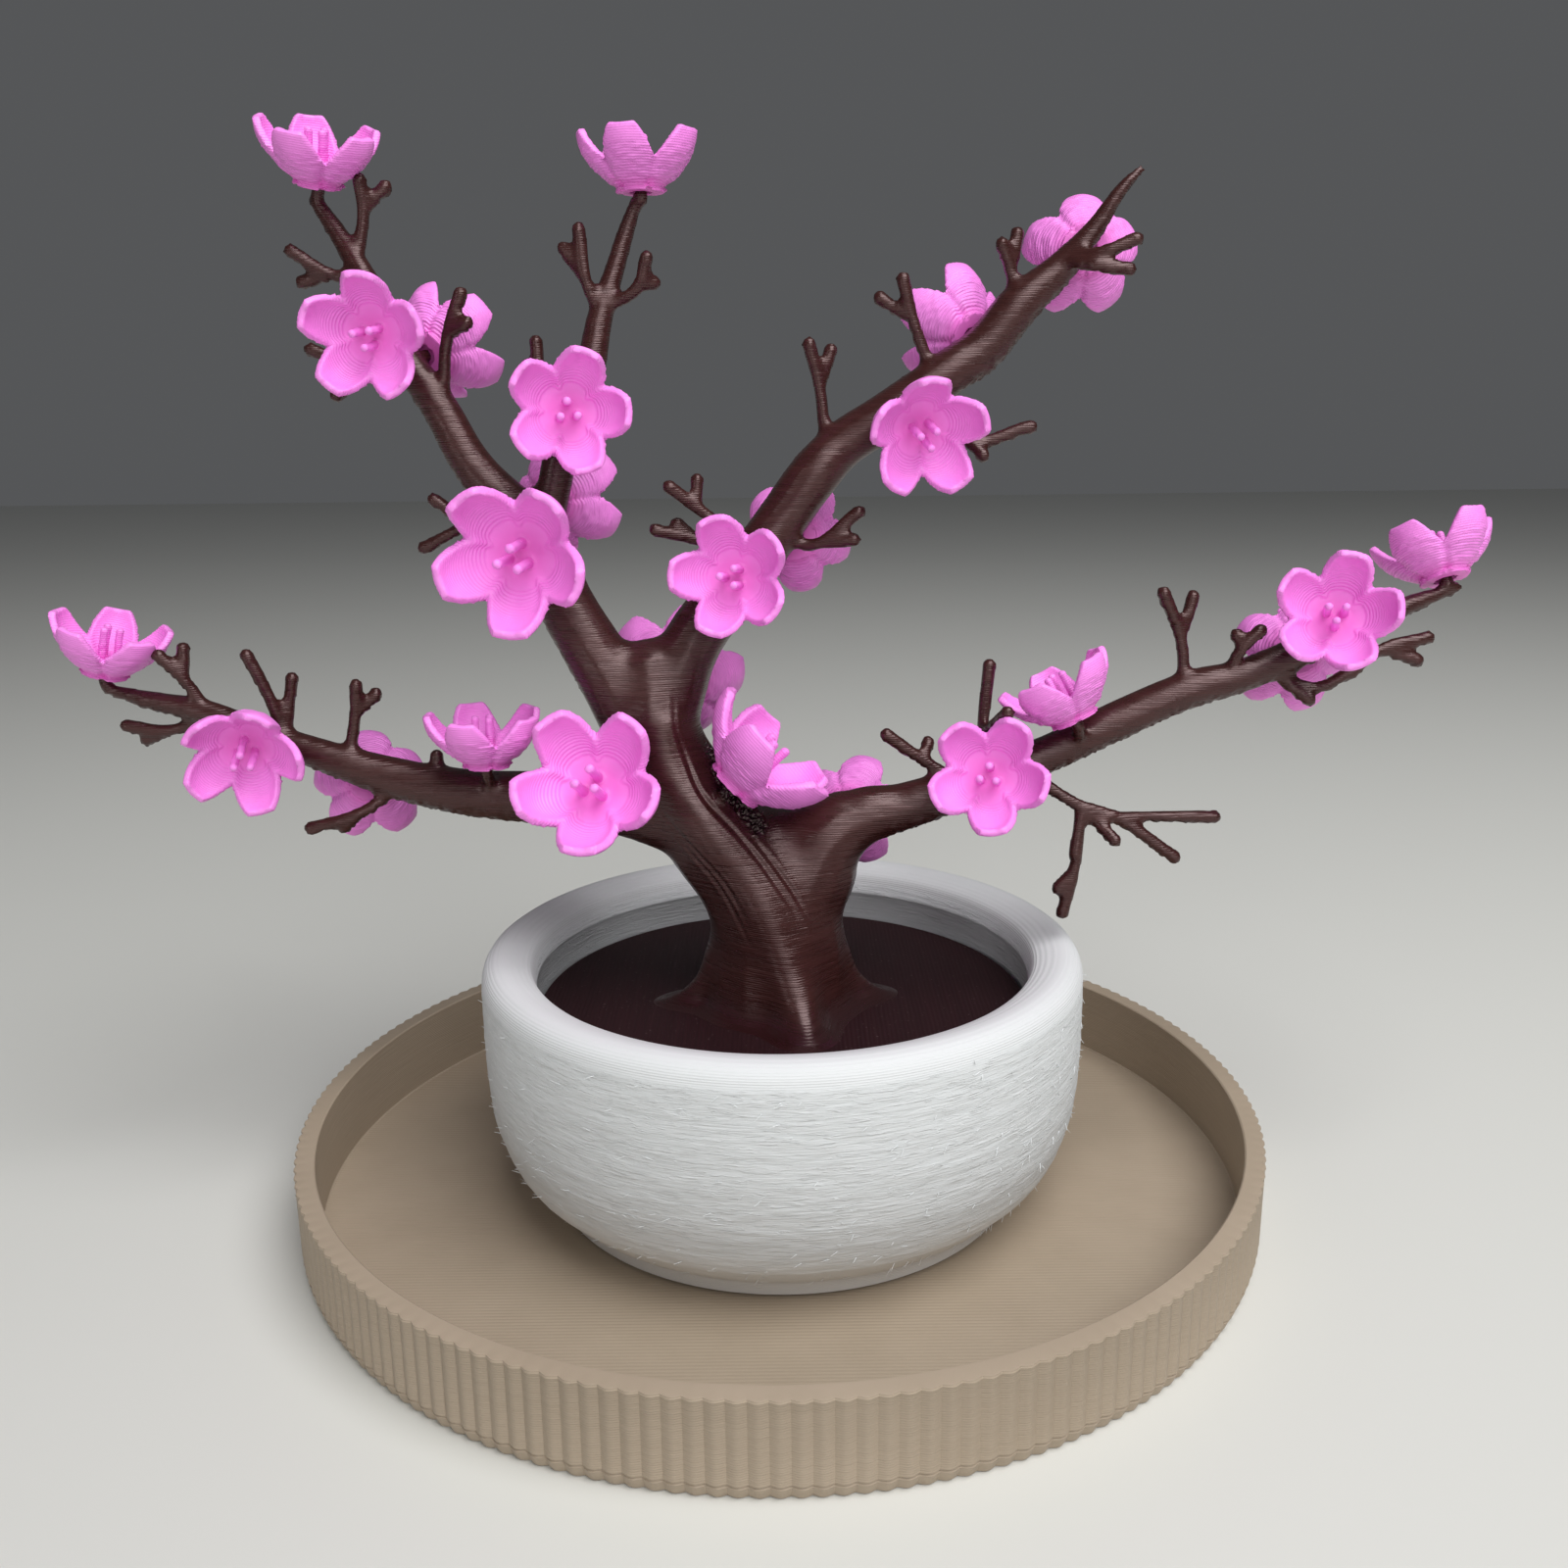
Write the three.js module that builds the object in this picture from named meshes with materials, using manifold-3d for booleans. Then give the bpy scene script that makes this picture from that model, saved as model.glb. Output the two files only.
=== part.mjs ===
// Cherry blossom bonsai in a round pot, standing in a ribbed drip tray.
// Millimetres, +Z up. The origin is the middle of the tray's underside, and -Y is the front.
import * as THREE from 'three';
import { mergeVertices } from 'three/addons/utils/BufferGeometryUtils.js';
import Module from 'manifold-3d';

const wasm = await Module();
wasm.setup();

// Driving dimensions. Pieces that touch keep this clearance.
const GAP = 0.3;

const TRAY_RADIUS = 46.7;
const TRAY_HEIGHT = 8.5;
const TRAY_WALL = 1.8;
const TRAY_FLOOR = 0.8;
const RIB_COUNT = 190;
const RIB_DEPTH = 0.25;

const POT_CENTRE = [0.4, -0.7];
const POT_FOOT_RADIUS = 22.2;
const POT_BELLY_RADIUS = 29;
const POT_CROWN_HEIGHT = 25.2;
const POT_MOUTH_RADIUS = 24;
const POT_FLOOR = 5;

const SOIL_TOP = 19.3;
const SOIL_THICKNESS = 2.6;

const PLUG_RADIUS = 6;
const NECK_RADIUS = 6.3;
const FLARE_HEIGHT = 7;
// Each root: the direction it runs in, in degrees from +X, and how far it reaches from the trunk's middle.
const ROOTS = [[0, 11.5], [90, 10], [185, 11.5], [282, 13]];
const ROOT_VALLEY = 7.5;

const TWIG_RADII = { stem: 0.6, fork: 0.5, tip: 0.7 };
const PEG_RADIUS = 0.6;
const PEG_ENTRY = 0.6;

const BLOSSOM_HEIGHT = 5;
const BLOSSOM_NECK_RADIUS = 2.2;
const BLOSSOM_NECK_HEIGHT = 0.5;
const BLOSSOM_RADIUS = 5.55;
const CUP_CURVE = 2.2;
const BLOSSOM_FLOOR = 1.4;
// Radius and height where the inside of the wall meets the floor.
const BLOSSOM_HEEL = [2.8, 1.7];
const PETAL_COUNT = 5;
const PETAL_THICKNESS = 0.75;
// Across one petal: the angle from its middle, in degrees, and the height of its edge there.
const PETAL_EDGE = [[-26, 3.4], [-13, 5], [13, 5], [26, 3.4], [36, 1.7]];
const STAMEN_COUNT = 3;
const STAMEN_RADIUS = 0.35;
const STAMEN_HEIGHT = 4.8;
const STAMEN_CIRCLE = 0.85;
const STAMEN_TURN = THREE.MathUtils.degToRad(25);
const SOCKET_RADIUS = 1.05;
const SOCKET_DEPTH = 0.9;

// How many flat sides each round form is built with.
const SIDES = { trayInside: 72, pot: 40, soil: 44, soilHole: 24, plug: 20, flare: 24, trunk: 12, branch: 8 };
const TWIG_SIDES = 4;
const SOCKET_SIDES = 5;

// Trunk and branches, as points along each middle line: x, y, z and the radius there.
const BRANCHES = {
  trunk: [
    [0, -1.5, 19.6, 7], [0, -1.5, 26.5, 6.3], [-2, -1, 31.5, 5.8], [-5.5, -0.5, 36, 5.4],
    [-8.5, 0, 40, 4.7], [-10.5, 0.5, 43.5, 4.3], [-11.5, 0.5, 47, 4.1], [-11.5, 1, 50, 3.7],
    [-12, 1, 53, 2.9],
  ],
  lowerLeft: [
    [-5, -0.5, 36, 4.2], [-9.5, -0.5, 37.5, 3.6], [-14.5, 0, 38.5, 2.9], [-22, 0, 39.5, 2.6],
    [-29.5, 0.5, 40, 2.3], [-37, 1, 41.5, 2], [-41.5, 1, 43, 1.7], [-48.5, 1.5, 45.5, 1.3],
    [-55, 2, 48, 1.2], [-60, 2.5, 49, 0.9], [-64, 3, 50, 0.5],
  ],
  lowerRight: [
    [0.5, -1, 28, 5.3], [3, -1, 32, 4.7], [5, -1, 35.5, 3.8], [8, -1, 37.5, 2.9],
    [12, -1, 38.5, 2.3], [18, -1, 40.5, 2], [26, -0.5, 43.5, 1.8], [32.5, 0, 46.5, 1.9],
    [39.5, 0, 49.5, 1.8], [43.5, 0, 50.5, 1.6], [49.5, 0, 53, 1.5], [56, 0.5, 55.5, 1.1],
    [59.5, 1, 57, 0.9], [64, 1.5, 58.5, 0.5],
  ],
  upperLeft: [
    [-10.5, 0.5, 42, 3.3], [-13, 0.5, 46, 3.3], [-15, 0.5, 50, 3.1], [-17, 1, 53.5, 2.9],
    [-19.5, 1.5, 58, 2.7], [-21, 2, 62, 2.5], [-23, 2, 65.5, 2.2], [-27.5, 2.5, 70.5, 1.9],
    [-30.5, 3, 76, 1.7], [-33.5, 3.5, 80.5, 1.5], [-36, 4, 86, 1.1], [-39, 5.5, 91, 0.7],
    [-41, 6, 94, 0.5],
  ],
  middleLeft: [
    [-21.5, 2, 64, 1.8], [-20, 2, 69, 1.6], [-19, 2.5, 73.5, 1.5], [-16.5, 3, 79, 1.4],
    [-15.5, 4, 83.5, 1.2], [-14, 5, 88, 0.9], [-13, 5.5, 91, 0.8], [-12, 5.5, 93.5, 0.6],
  ],
  upperRight: [
    [-9.5, 0, 41.5, 3.7], [-10.5, 0.5, 46, 3.4], [-9.5, 1, 50, 3.1], [-7.5, 1.5, 54.5, 2.8],
    [-3, 2.5, 60, 2.6], [1, 3.5, 65.5, 2.4], [4, 3.5, 69.5, 2.4], [6.5, 4, 72, 2.2],
    [10.5, 4, 74.5, 2.2], [16.5, 4.5, 78.5, 2.1], [19.5, 5, 80.5, 2.1], [22.5, 5, 84, 2],
    [27, 5, 88, 1.4], [29.5, 4.5, 91, 0.9], [31.5, 4, 94, 0.6], [33, 4, 95.5, 0.4],
  ],
};

// Twigs, as x, y, z points: a foot on its branch, a fork, and the one or two tips past it.
const TWIGS = [
  { foot: [-37.5, 5, 88.5], fork: [-36.5, 5, 93], tips: [[-36.5, 4.5, 95.5], [-34.5, 5.5, 95]] },
  { foot: [-37, 4.5, 87.5], fork: [-39.5, 4.5, 87.5], tips: [[-43, 4, 89.5], [-42.5, 5, 87]] },
  { foot: [-33, 4, 81], fork: [-37.5, 4, 79.5], tips: [[-42, 4, 81], [-40, 4, 77]] },
  { foot: [-30, 3, 76], fork: [-29, 2, 82], tips: [[-27.5, 1.5, 85.5], [-27, 1, 83]] },
  { foot: [-15.5, 4, 84], fork: [-16.5, 3.5, 86.5], tips: [[-17, 3.5, 91], [-18.5, 4, 89.5]] },
  { foot: [-15, 4, 84.5], fork: [-12, 3.5, 86], tips: [[-11, 3, 88.5], [-10.5, 4, 86.5]] },
  { foot: [-17.5, 2.5, 76.5], fork: [-21, 4, 78.5], tips: [[-21.5, 4.5, 81.5], [-22.5, 5, 79.5]] },
  { foot: [-23, 2, 67], fork: [-28, 3, 65.5], tips: [[-31.5, 3, 67.5], [-33, 4, 63]] },
  { foot: [-2, 3, 63], fork: [-7, 2.5, 66.5], tips: [[-9.5, 2, 68.5], [-7, 3, 69]] },
  { foot: [-2, 3, 62], fork: [-7, 3.5, 63.5], tips: [[-11, 3, 64.5], [-9, 4, 65]] },
  { foot: [5, 4, 71], fork: [4.5, 4, 77], tips: [[3.5, 3.5, 81], [5.5, 4.5, 80.5]] },
  { foot: [15, 4.5, 78], fork: [13, 4, 83], tips: [[12, 3.5, 86.5], [10, 4.5, 85]] },
  { foot: [22.5, 5, 84.5], fork: [22, 5, 87], tips: [[21, 4.5, 89.5], [22.5, 5.5, 90.5]] },
  { foot: [27, 5, 88.5], fork: [29.5, 2.5, 88.5], tips: [[32.5, 2, 89.5]] },
  { foot: [26.5, 5, 88], fork: [28.5, 2.5, 87.5], tips: [[32, 2, 87]] },
  { foot: [15, 4.5, 77], fork: [18, 4, 72.5], tips: [[24, 4, 73.5], [19.5, 3, 71]] },
  { foot: [1, 3.5, 65], fork: [3, 2.5, 63], tips: [[8, 2, 66], [7.5, 1.5, 63.5]] },
  { foot: [-54.5, 2, 48], fork: [-56, 1.5, 51], tips: [[-58, 1, 53.5], [-56, 2, 54]] },
  { foot: [-47, 1.5, 45], fork: [-48, 1, 49.5], tips: [[-49.5, 0.5, 53.5]] },
  { foot: [-47, 1.5, 45], fork: [-46.5, 2, 48.5], tips: [[-46, 2, 51]] },
  { foot: [-54, 2, 47.5], fork: [-58.5, 2.5, 46], tips: [[-62.5, 2.5, 46.5], [-61, 3, 45]] },
  { foot: [-41, 1, 43], fork: [-40, 1, 47.5], tips: [[-39.5, 0.5, 50.5], [-38, 1.5, 49.5]] },
  { foot: [-36, 1, 41], fork: [-39.5, -0.5, 38.5], tips: [[-44.5, -1, 37], [-41.5, -0.5, 37]] },
  { foot: [-32, 1, 41], fork: [-32.5, 1, 42.5], tips: [[-32.5, 1, 43.5]] },
  { foot: [19.5, -1, 41.5], fork: [19.5, -1, 45.5], tips: [[20, -1, 52], [21, -6, 48.5]] },
  { foot: [18, -1, 40.5], fork: [14, -1, 43], tips: [[10.5, -1, 45.5], [14.5, 0, 44.5]] },
  { foot: [38.5, 0, 49], fork: [38, 0, 54], tips: [[36, -0.5, 58.5], [39, 0.5, 58]] },
  { foot: [23.5, -0.5, 42], fork: [29, -1.5, 38.5], tips: [[32, -1.5, 37.5], [28.5, -2, 34]] },
  { foot: [29, -1.5, 38.5], fork: [32, -1.5, 37.5], tips: [[38, -2, 33.5], [42, -0.5, 37]] },
  { foot: [29, -1.5, 38.5], fork: [28.5, -2, 32.5], tips: [[27.5, -2, 28], [27, -2, 30.5]] },
  { foot: [29, -1.5, 38.5], fork: [30, -1.5, 37.5], tips: [[32, -3, 35.5]] },
  { foot: [42.5, 0, 50.5], fork: [43.5, -1, 53.5], tips: [[45, -1, 55], [43, -0.5, 54.5]] },
  { foot: [46.5, 0, 51.5], fork: [50.5, -0.5, 49.5], tips: [[54, -0.5, 51]] },
  { foot: [54, -0.5, 51], fork: [56.5, -0.5, 53], tips: [[61, 0, 54], [60, -0.5, 52]] },
  { foot: [46.5, 0, 51.5], fork: [48, -0.5, 50], tips: [[50, -1, 48.5]] },
];

// Blossoms: the middle of the base, the direction the cup faces (degrees round from +X, then up),
// the turn about that direction, and the size against the common one.
const BLOSSOMS = [
  { base: [-40.5, 5.5, 95.2], faces: [-58, 70], turn: 11, size: 1 },
  { base: [-11.5, 5, 94.2], faces: [-93, 89], turn: 46, size: 1 },
  { base: [-35, 1, 82.2], faces: [-92, -8], turn: 13, size: 1 },
  { base: [-31.9, 5, 80.4], faces: [65, 20], turn: 0, size: 1 },
  { base: [-18.3, 0, 75.2], faces: [-80, 1], turn: 70, size: 1 },
  { base: [-21, 4.5, 67.2], faces: [72, 4], turn: 69, size: 1 },
  { base: [-22.4, -1.5, 63], faces: [-96, -3], turn: 52, size: 1.25 },
  { base: [-16.4, -4, 41], faces: [-95, 26], turn: 52, size: 1.25 },
  { base: [-27, -2.5, 43.3], faces: [-48, 89], turn: 1, size: 1 },
  { base: [-39.7, 3.5, 40.7], faces: [108, -20], turn: 18, size: 1 },
  { base: [-49.6, -1, 45.8], faces: [-80, -18], turn: 65, size: 1 },
  { base: [-64.2, 3, 51.5], faces: [-16, 73], turn: 34, size: 1 },
  { base: [-3.2, -1, 60.4], faces: [-99, 7], turn: 35, size: 1 },
  { base: [1.9, 6.5, 63.5], faces: [85, -3], turn: 46, size: 1 },
  { base: [13.2, 1.5, 73.8], faces: [-80, -16], turn: 20, size: 1 },
  { base: [19, 7.5, 81.7], faces: [120, 20], turn: 18, size: 1 },
  { base: [29.1, 7, 89.3], faces: [86, -2], turn: 19, size: 1 },
  { base: [-3.9, -5, 41.7], faces: [0, 44], turn: 15, size: 1.25 },
  { base: [-9.8, 5.5, 49.4], faces: [92, 5], turn: 40, size: 1.25 },
  { base: [7, 3, 37.2], faces: [77, -15], turn: 29, size: 1 },
  { base: [19.9, -4, 42], faces: [-101, 17], turn: 61, size: 1 },
  { base: [27.8, -3, 47.1], faces: [162, 62], turn: 56, size: 1 },
  { base: [49.8, 2.5, 52.5], faces: [81, -15], turn: 32, size: 1 },
  { base: [51.3, -2, 55.9], faces: [-108, 19], turn: 6, size: 1 },
  { base: [62.8, 1.5, 59.2], faces: [110, 61], turn: 19, size: 1 },
];

const material = (color, roughness) => new THREE.MeshStandardMaterial({ color, roughness, metalness: 0 });
const trayPlastic = material(0x9a8d7b, 0.7);
const potPlastic = material(0xe6e7e6, 0.85);
const soilPlastic = material(0x32242a, 0.6);
const barkPlastic = material(0x4a3434, 0.45);
const petalPlastic = material(0xf28ee0, 0.5);

// Solids: a three.js geometry goes in, is joined or cut, and comes out again.
function toSolid(geometry) {
  const bare = geometry.clone();
  bare.deleteAttribute('normal');
  bare.deleteAttribute('uv');
  const merged = mergeVertices(bare, 1e-4);
  const vertProperties = new Float32Array(merged.attributes.position.array);
  const corners = [...merged.index.array];
  const triVerts = new Uint32Array(corners.filter((corner, i) => {
    const [a, b, c] = corners.slice(i - (i % 3), i - (i % 3) + 3);
    return a !== b && b !== c && c !== a;
  }));
  return new wasm.Manifold(new wasm.Mesh({ numProp: 3, vertProperties, triVerts }));
}

function toGeometry(solid) {
  const mesh = solid.getMesh();
  const geometry = new THREE.BufferGeometry();
  geometry.setAttribute('position', new THREE.BufferAttribute(mesh.vertProperties, 3));
  geometry.setIndex(new THREE.BufferAttribute(mesh.triVerts, 1));
  geometry.computeVertexNormals();
  return geometry;
}

function fuse(geometries) {
  return geometries.map(toSolid).reduce((whole, solid) => whole.add(solid));
}

// A round bar standing on the XY plane's height z.
function column(radius, height, sides, z) {
  const geometry = new THREE.CylinderGeometry(radius, radius, height, sides);
  geometry.rotateX(Math.PI / 2);
  geometry.translate(0, 0, z + height / 2);
  return geometry;
}

// A tapering tube along a smooth line through points of x, y, z and radius.
function limb(points, sides, steps) {
  const line = new THREE.CatmullRomCurve3(points.map(([x, y, z]) => new THREE.Vector3(x, y, z)));
  const frames = line.computeFrenetFrames(steps, false);
  const geometry = new THREE.CylinderGeometry(1, 1, 1, sides, steps);
  const position = geometry.attributes.position;
  const vertex = new THREE.Vector3();
  for (let i = 0; i < position.count; i += 1) {
    vertex.fromBufferAttribute(position, i);
    const step = Math.round((vertex.y + 0.5) * steps);
    const along = line.getUtoTmapping(step / steps) * (points.length - 1);
    const before = Math.min(Math.floor(along), points.length - 2);
    const radius = THREE.MathUtils.lerp(points[before][3], points[before + 1][3], along - before);
    const side = new THREE.Vector3().crossVectors(frames.normals[step], frames.tangents[step]);
    const place = line.getPointAt(step / steps);
    place.addScaledVector(frames.normals[step], vertex.x * radius);
    place.addScaledVector(side, vertex.z * radius);
    position.setXYZ(i, place.x, place.y, place.z);
  }
  return geometry;
}

// Tray: a shallow cup whose outside is all upright ribs.
function trayGeometry() {
  const points = [];
  for (let i = 0; i < RIB_COUNT * 2; i += 1) {
    const angle = (i * Math.PI) / RIB_COUNT;
    const radius = i % 2 === 0 ? TRAY_RADIUS : TRAY_RADIUS - RIB_DEPTH;
    points.push(new THREE.Vector2(radius * Math.cos(angle), radius * Math.sin(angle)));
  }
  const outside = new THREE.ExtrudeGeometry(new THREE.Shape(points), {
    depth: TRAY_HEIGHT,
    bevelEnabled: false,
  });
  const inside = column(TRAY_RADIUS - TRAY_WALL, TRAY_HEIGHT, SIDES.trayInside, TRAY_FLOOR);
  return toGeometry(toSolid(outside).subtract(toSolid(inside)));
}

// Pot: a low bowl on a narrower foot, with a rounded rim and a ledge inside that carries the soil disc.
function potGeometry() {
  const foot = TRAY_FLOOR + GAP;
  const ledge = SOIL_TOP - SOIL_THICKNESS - GAP;
  const belly = POT_BELLY_RADIUS;
  const profile = [
    [0, foot], [POT_FOOT_RADIUS, foot], [POT_FOOT_RADIUS, 2.7], [belly - 4.2, 3.7], [belly - 2.4, 5.5],
    [belly - 1.2, 8], [belly - 0.3, 11.5], [belly, 16], [belly, 23], [belly - 0.5, 24.6],
    [belly - 1.7, POT_CROWN_HEIGHT], [POT_MOUTH_RADIUS + 0.4, POT_CROWN_HEIGHT - 0.9],
    [POT_MOUTH_RADIUS, POT_CROWN_HEIGHT - 1.5], [POT_MOUTH_RADIUS, ledge],
    [POT_MOUTH_RADIUS - 1.2, ledge], [POT_MOUTH_RADIUS - 1.2, 9], [POT_FOOT_RADIUS - 2, POT_FLOOR],
    [0, POT_FLOOR],
  ];
  const geometry = new THREE.LatheGeometry(profile.map(([r, z]) => new THREE.Vector2(r, z)), SIDES.pot);
  geometry.rotateX(Math.PI / 2);
  return toGeometry(toSolid(geometry));
}

// Soil: a flat disc that drops into the pot, with a plain hole that the trunk's plug stands in.
function soilGeometry() {
  const disc = column(POT_MOUTH_RADIUS - GAP, SOIL_THICKNESS, SIDES.soil, SOIL_TOP - SOIL_THICKNESS);
  const [x, y] = plugOffset();
  const hole = column(PLUG_RADIUS + GAP, SOIL_THICKNESS * 3, SIDES.soilHole, SOIL_TOP - SOIL_THICKNESS * 2);
  hole.translate(x, y, 0);
  return toGeometry(toSolid(disc).subtract(toSolid(hole)));
}

function plugOffset() {
  const [x, y] = BRANCHES.trunk[0];
  return [x - POT_CENTRE[0], y - POT_CENTRE[1]];
}

// Roots: the trunk's foot, spread over the soil in low ridges with hollows between them.
function flareGeometry() {
  const geometry = new THREE.CylinderGeometry(1, 1, 1, SIDES.flare, 4);
  const position = geometry.attributes.position;
  const [x0, y0] = BRANCHES.trunk[0];
  for (let i = 0; i < position.count; i += 1) {
    const up = position.getY(i) + 0.5;
    const angle = Math.atan2(-position.getZ(i), position.getX(i));
    const reach = Math.max(...ROOTS.map(([towards, length]) => {
      const aside = Math.cos(angle - THREE.MathUtils.degToRad(towards));
      return ROOT_VALLEY + (length - ROOT_VALLEY) * Math.max(aside, 0) ** 6;
    }));
    const share = Math.hypot(position.getX(i), position.getZ(i));
    const radius = share * THREE.MathUtils.lerp(NECK_RADIUS, reach, (1 - up) ** 2.4);
    const z = SOIL_TOP + GAP + up * FLARE_HEIGHT;
    position.setXYZ(i, x0 + radius * Math.cos(angle), y0 + radius * Math.sin(angle), z);
  }
  return geometry;
}

// The point nearest to p on any branch's middle line.
function nearestOnBranch(p) {
  let nearest = new THREE.Vector3();
  for (const points of Object.values(BRANCHES)) {
    const line = new THREE.CatmullRomCurve3(points.map(([x, y, z]) => new THREE.Vector3(x, y, z)));
    for (const point of line.getSpacedPoints(120)) {
      if (point.distanceTo(p) < nearest.distanceTo(p)) nearest = point;
    }
  }
  return nearest;
}

function facing(blossom) {
  const [round, up] = blossom.faces.map(THREE.MathUtils.degToRad);
  return new THREE.Vector3(Math.cos(up) * Math.cos(round), Math.cos(up) * Math.sin(round), Math.sin(up));
}

// Each blossom is pushed on a short peg that stands out of its branch.
function pegGeometry(blossom) {
  const base = new THREE.Vector3(...blossom.base);
  const axis = facing(blossom);
  const end = base.clone().addScaledVector(axis, PEG_ENTRY);
  const neck = base.clone().addScaledVector(axis, -2 * GAP);
  const root = nearestOnBranch(base);
  const line = [root, neck, end].map((point) => [...point.toArray(), PEG_RADIUS]);
  return limb(line, TWIG_SIDES, 2);
}

// Tree: trunk, branches, twigs and pegs are one moulding.
function treeGeometry() {
  const [x, y] = BRANCHES.trunk[0];
  const plug = column(PLUG_RADIUS, SOIL_THICKNESS + 2, SIDES.plug, SOIL_TOP - SOIL_THICKNESS + GAP);
  plug.translate(x, y, 0);
  const branches = Object.entries(BRANCHES).map(([name, points]) => {
    const sides = name === 'trunk' ? SIDES.trunk : SIDES.branch;
    return limb(points, sides, points.length);
  });
  const { stem, fork, tip } = TWIG_RADII;
  const twigs = TWIGS.flatMap((twig) => twig.tips.map((end, i) => {
    const side = [[...twig.fork, fork * 0.8], [...end, tip]];
    const main = [[...twig.foot, stem], [...twig.fork, fork], [...end, tip]];
    return i === 0 ? limb(main, TWIG_SIDES, 2) : limb(side, TWIG_SIDES, 1);
  }));
  const pegs = BLOSSOMS.map(pegGeometry);
  return toGeometry(fuse([plug, flareGeometry(), ...branches, ...twigs, ...pegs]));
}

// Outside radius of a blossom's cup at height z.
function cupRadius(z) {
  const share = Math.max(z - BLOSSOM_NECK_HEIGHT, 0) / (BLOSSOM_HEIGHT - BLOSSOM_NECK_HEIGHT);
  return BLOSSOM_NECK_RADIUS + (BLOSSOM_RADIUS - BLOSSOM_NECK_RADIUS) * (1 - (1 - share) ** CUP_CURVE);
}

// One column of a blossom's wall: out from the middle of its base, over the edge, in to its floor.
function petalColumn(edge) {
  return [
    [0, 0], [BLOSSOM_NECK_RADIUS, 0], [cupRadius(edge * 0.55), edge * 0.55], [cupRadius(edge), edge],
    [cupRadius(edge) - PETAL_THICKNESS, edge], BLOSSOM_HEEL, [0, BLOSSOM_FLOOR],
  ];
}

// Blossom: a cup cut into five petals, three stamens on its floor, and a socket under it for the peg.
function blossomGeometry(size) {
  const rowCount = petalColumn(BLOSSOM_HEIGHT).length;
  const columnCount = PETAL_COUNT * PETAL_EDGE.length;
  const profile = petalColumn(BLOSSOM_HEIGHT).map(([r, z]) => new THREE.Vector2(r, z));
  const cup = new THREE.LatheGeometry(profile, columnCount);
  const position = cup.attributes.position;
  for (let i = 0; i < position.count; i += 1) {
    const column = Math.floor(i / rowCount) % columnCount;
    const petal = Math.floor(column / PETAL_EDGE.length);
    const [aside, edge] = PETAL_EDGE[column % PETAL_EDGE.length];
    const angle = THREE.MathUtils.degToRad((petal * 360) / PETAL_COUNT + aside);
    const [radius, z] = petalColumn(edge)[i % rowCount];
    position.setXYZ(i, radius * Math.cos(angle), radius * Math.sin(angle), z);
  }
  const stamens = [];
  for (let i = 0; i < STAMEN_COUNT; i += 1) {
    const stamen = column(STAMEN_RADIUS, STAMEN_HEIGHT - BLOSSOM_FLOOR / 2, 4, BLOSSOM_FLOOR / 2);
    stamen.translate(STAMEN_CIRCLE, 0, 0);
    stamen.rotateZ(STAMEN_TURN + (i * 2 * Math.PI) / STAMEN_COUNT);
    stamens.push(stamen);
  }
  const blossom = toGeometry(fuse([cup, ...stamens]));
  blossom.scale(size, size, size);
  const socket = column(SOCKET_RADIUS, SOCKET_DEPTH * 2, SOCKET_SIDES, -SOCKET_DEPTH);
  return toGeometry(toSolid(blossom).subtract(toSolid(socket)));
}

const bonsai = new THREE.Group();
bonsai.name = 'cherry_blossom_bonsai';

function place(name, geometry, plastic, parent = bonsai) {
  const mesh = new THREE.Mesh(geometry, plastic);
  mesh.name = name;
  parent.add(mesh);
  return mesh;
}

place('tray', trayGeometry(), trayPlastic);

const potted = new THREE.Group();
potted.position.set(...POT_CENTRE, 0);
bonsai.add(potted);
place('pot', potGeometry(), potPlastic, potted);
place('soil_disc', soilGeometry(), soilPlastic, potted);

place('tree', treeGeometry(), barkPlastic);

BLOSSOMS.forEach((blossom, i) => {
  const name = `blossom_${String(i + 1).padStart(2, '0')}`;
  const mesh = place(name, blossomGeometry(blossom.size), petalPlastic);
  const axis = facing(blossom);
  const across = new THREE.Vector3(0, 0, 1).cross(axis).normalize();
  const turned = new THREE.Matrix4().makeBasis(across, new THREE.Vector3().crossVectors(axis, across), axis);
  mesh.quaternion.setFromRotationMatrix(turned);
  mesh.rotateZ(THREE.MathUtils.degToRad(blossom.turn));
  mesh.position.set(...blossom.base);
});

export default bonsai;
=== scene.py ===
import math
import random

import bmesh
import bpy
import numpy as np
from mathutils import Matrix, Vector, noise


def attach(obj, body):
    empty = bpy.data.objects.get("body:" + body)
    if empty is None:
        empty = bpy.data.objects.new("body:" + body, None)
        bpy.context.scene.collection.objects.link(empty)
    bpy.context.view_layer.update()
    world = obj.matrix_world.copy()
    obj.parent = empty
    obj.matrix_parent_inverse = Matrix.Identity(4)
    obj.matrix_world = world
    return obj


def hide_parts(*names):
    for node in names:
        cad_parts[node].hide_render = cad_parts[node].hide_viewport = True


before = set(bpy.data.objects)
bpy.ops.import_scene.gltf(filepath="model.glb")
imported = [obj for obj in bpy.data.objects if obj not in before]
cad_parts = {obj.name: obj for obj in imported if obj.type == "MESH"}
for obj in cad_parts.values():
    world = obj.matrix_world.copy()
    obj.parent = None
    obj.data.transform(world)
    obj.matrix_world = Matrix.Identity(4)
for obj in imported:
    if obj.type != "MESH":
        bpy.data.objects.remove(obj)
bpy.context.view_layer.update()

MM = 0.001

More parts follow.
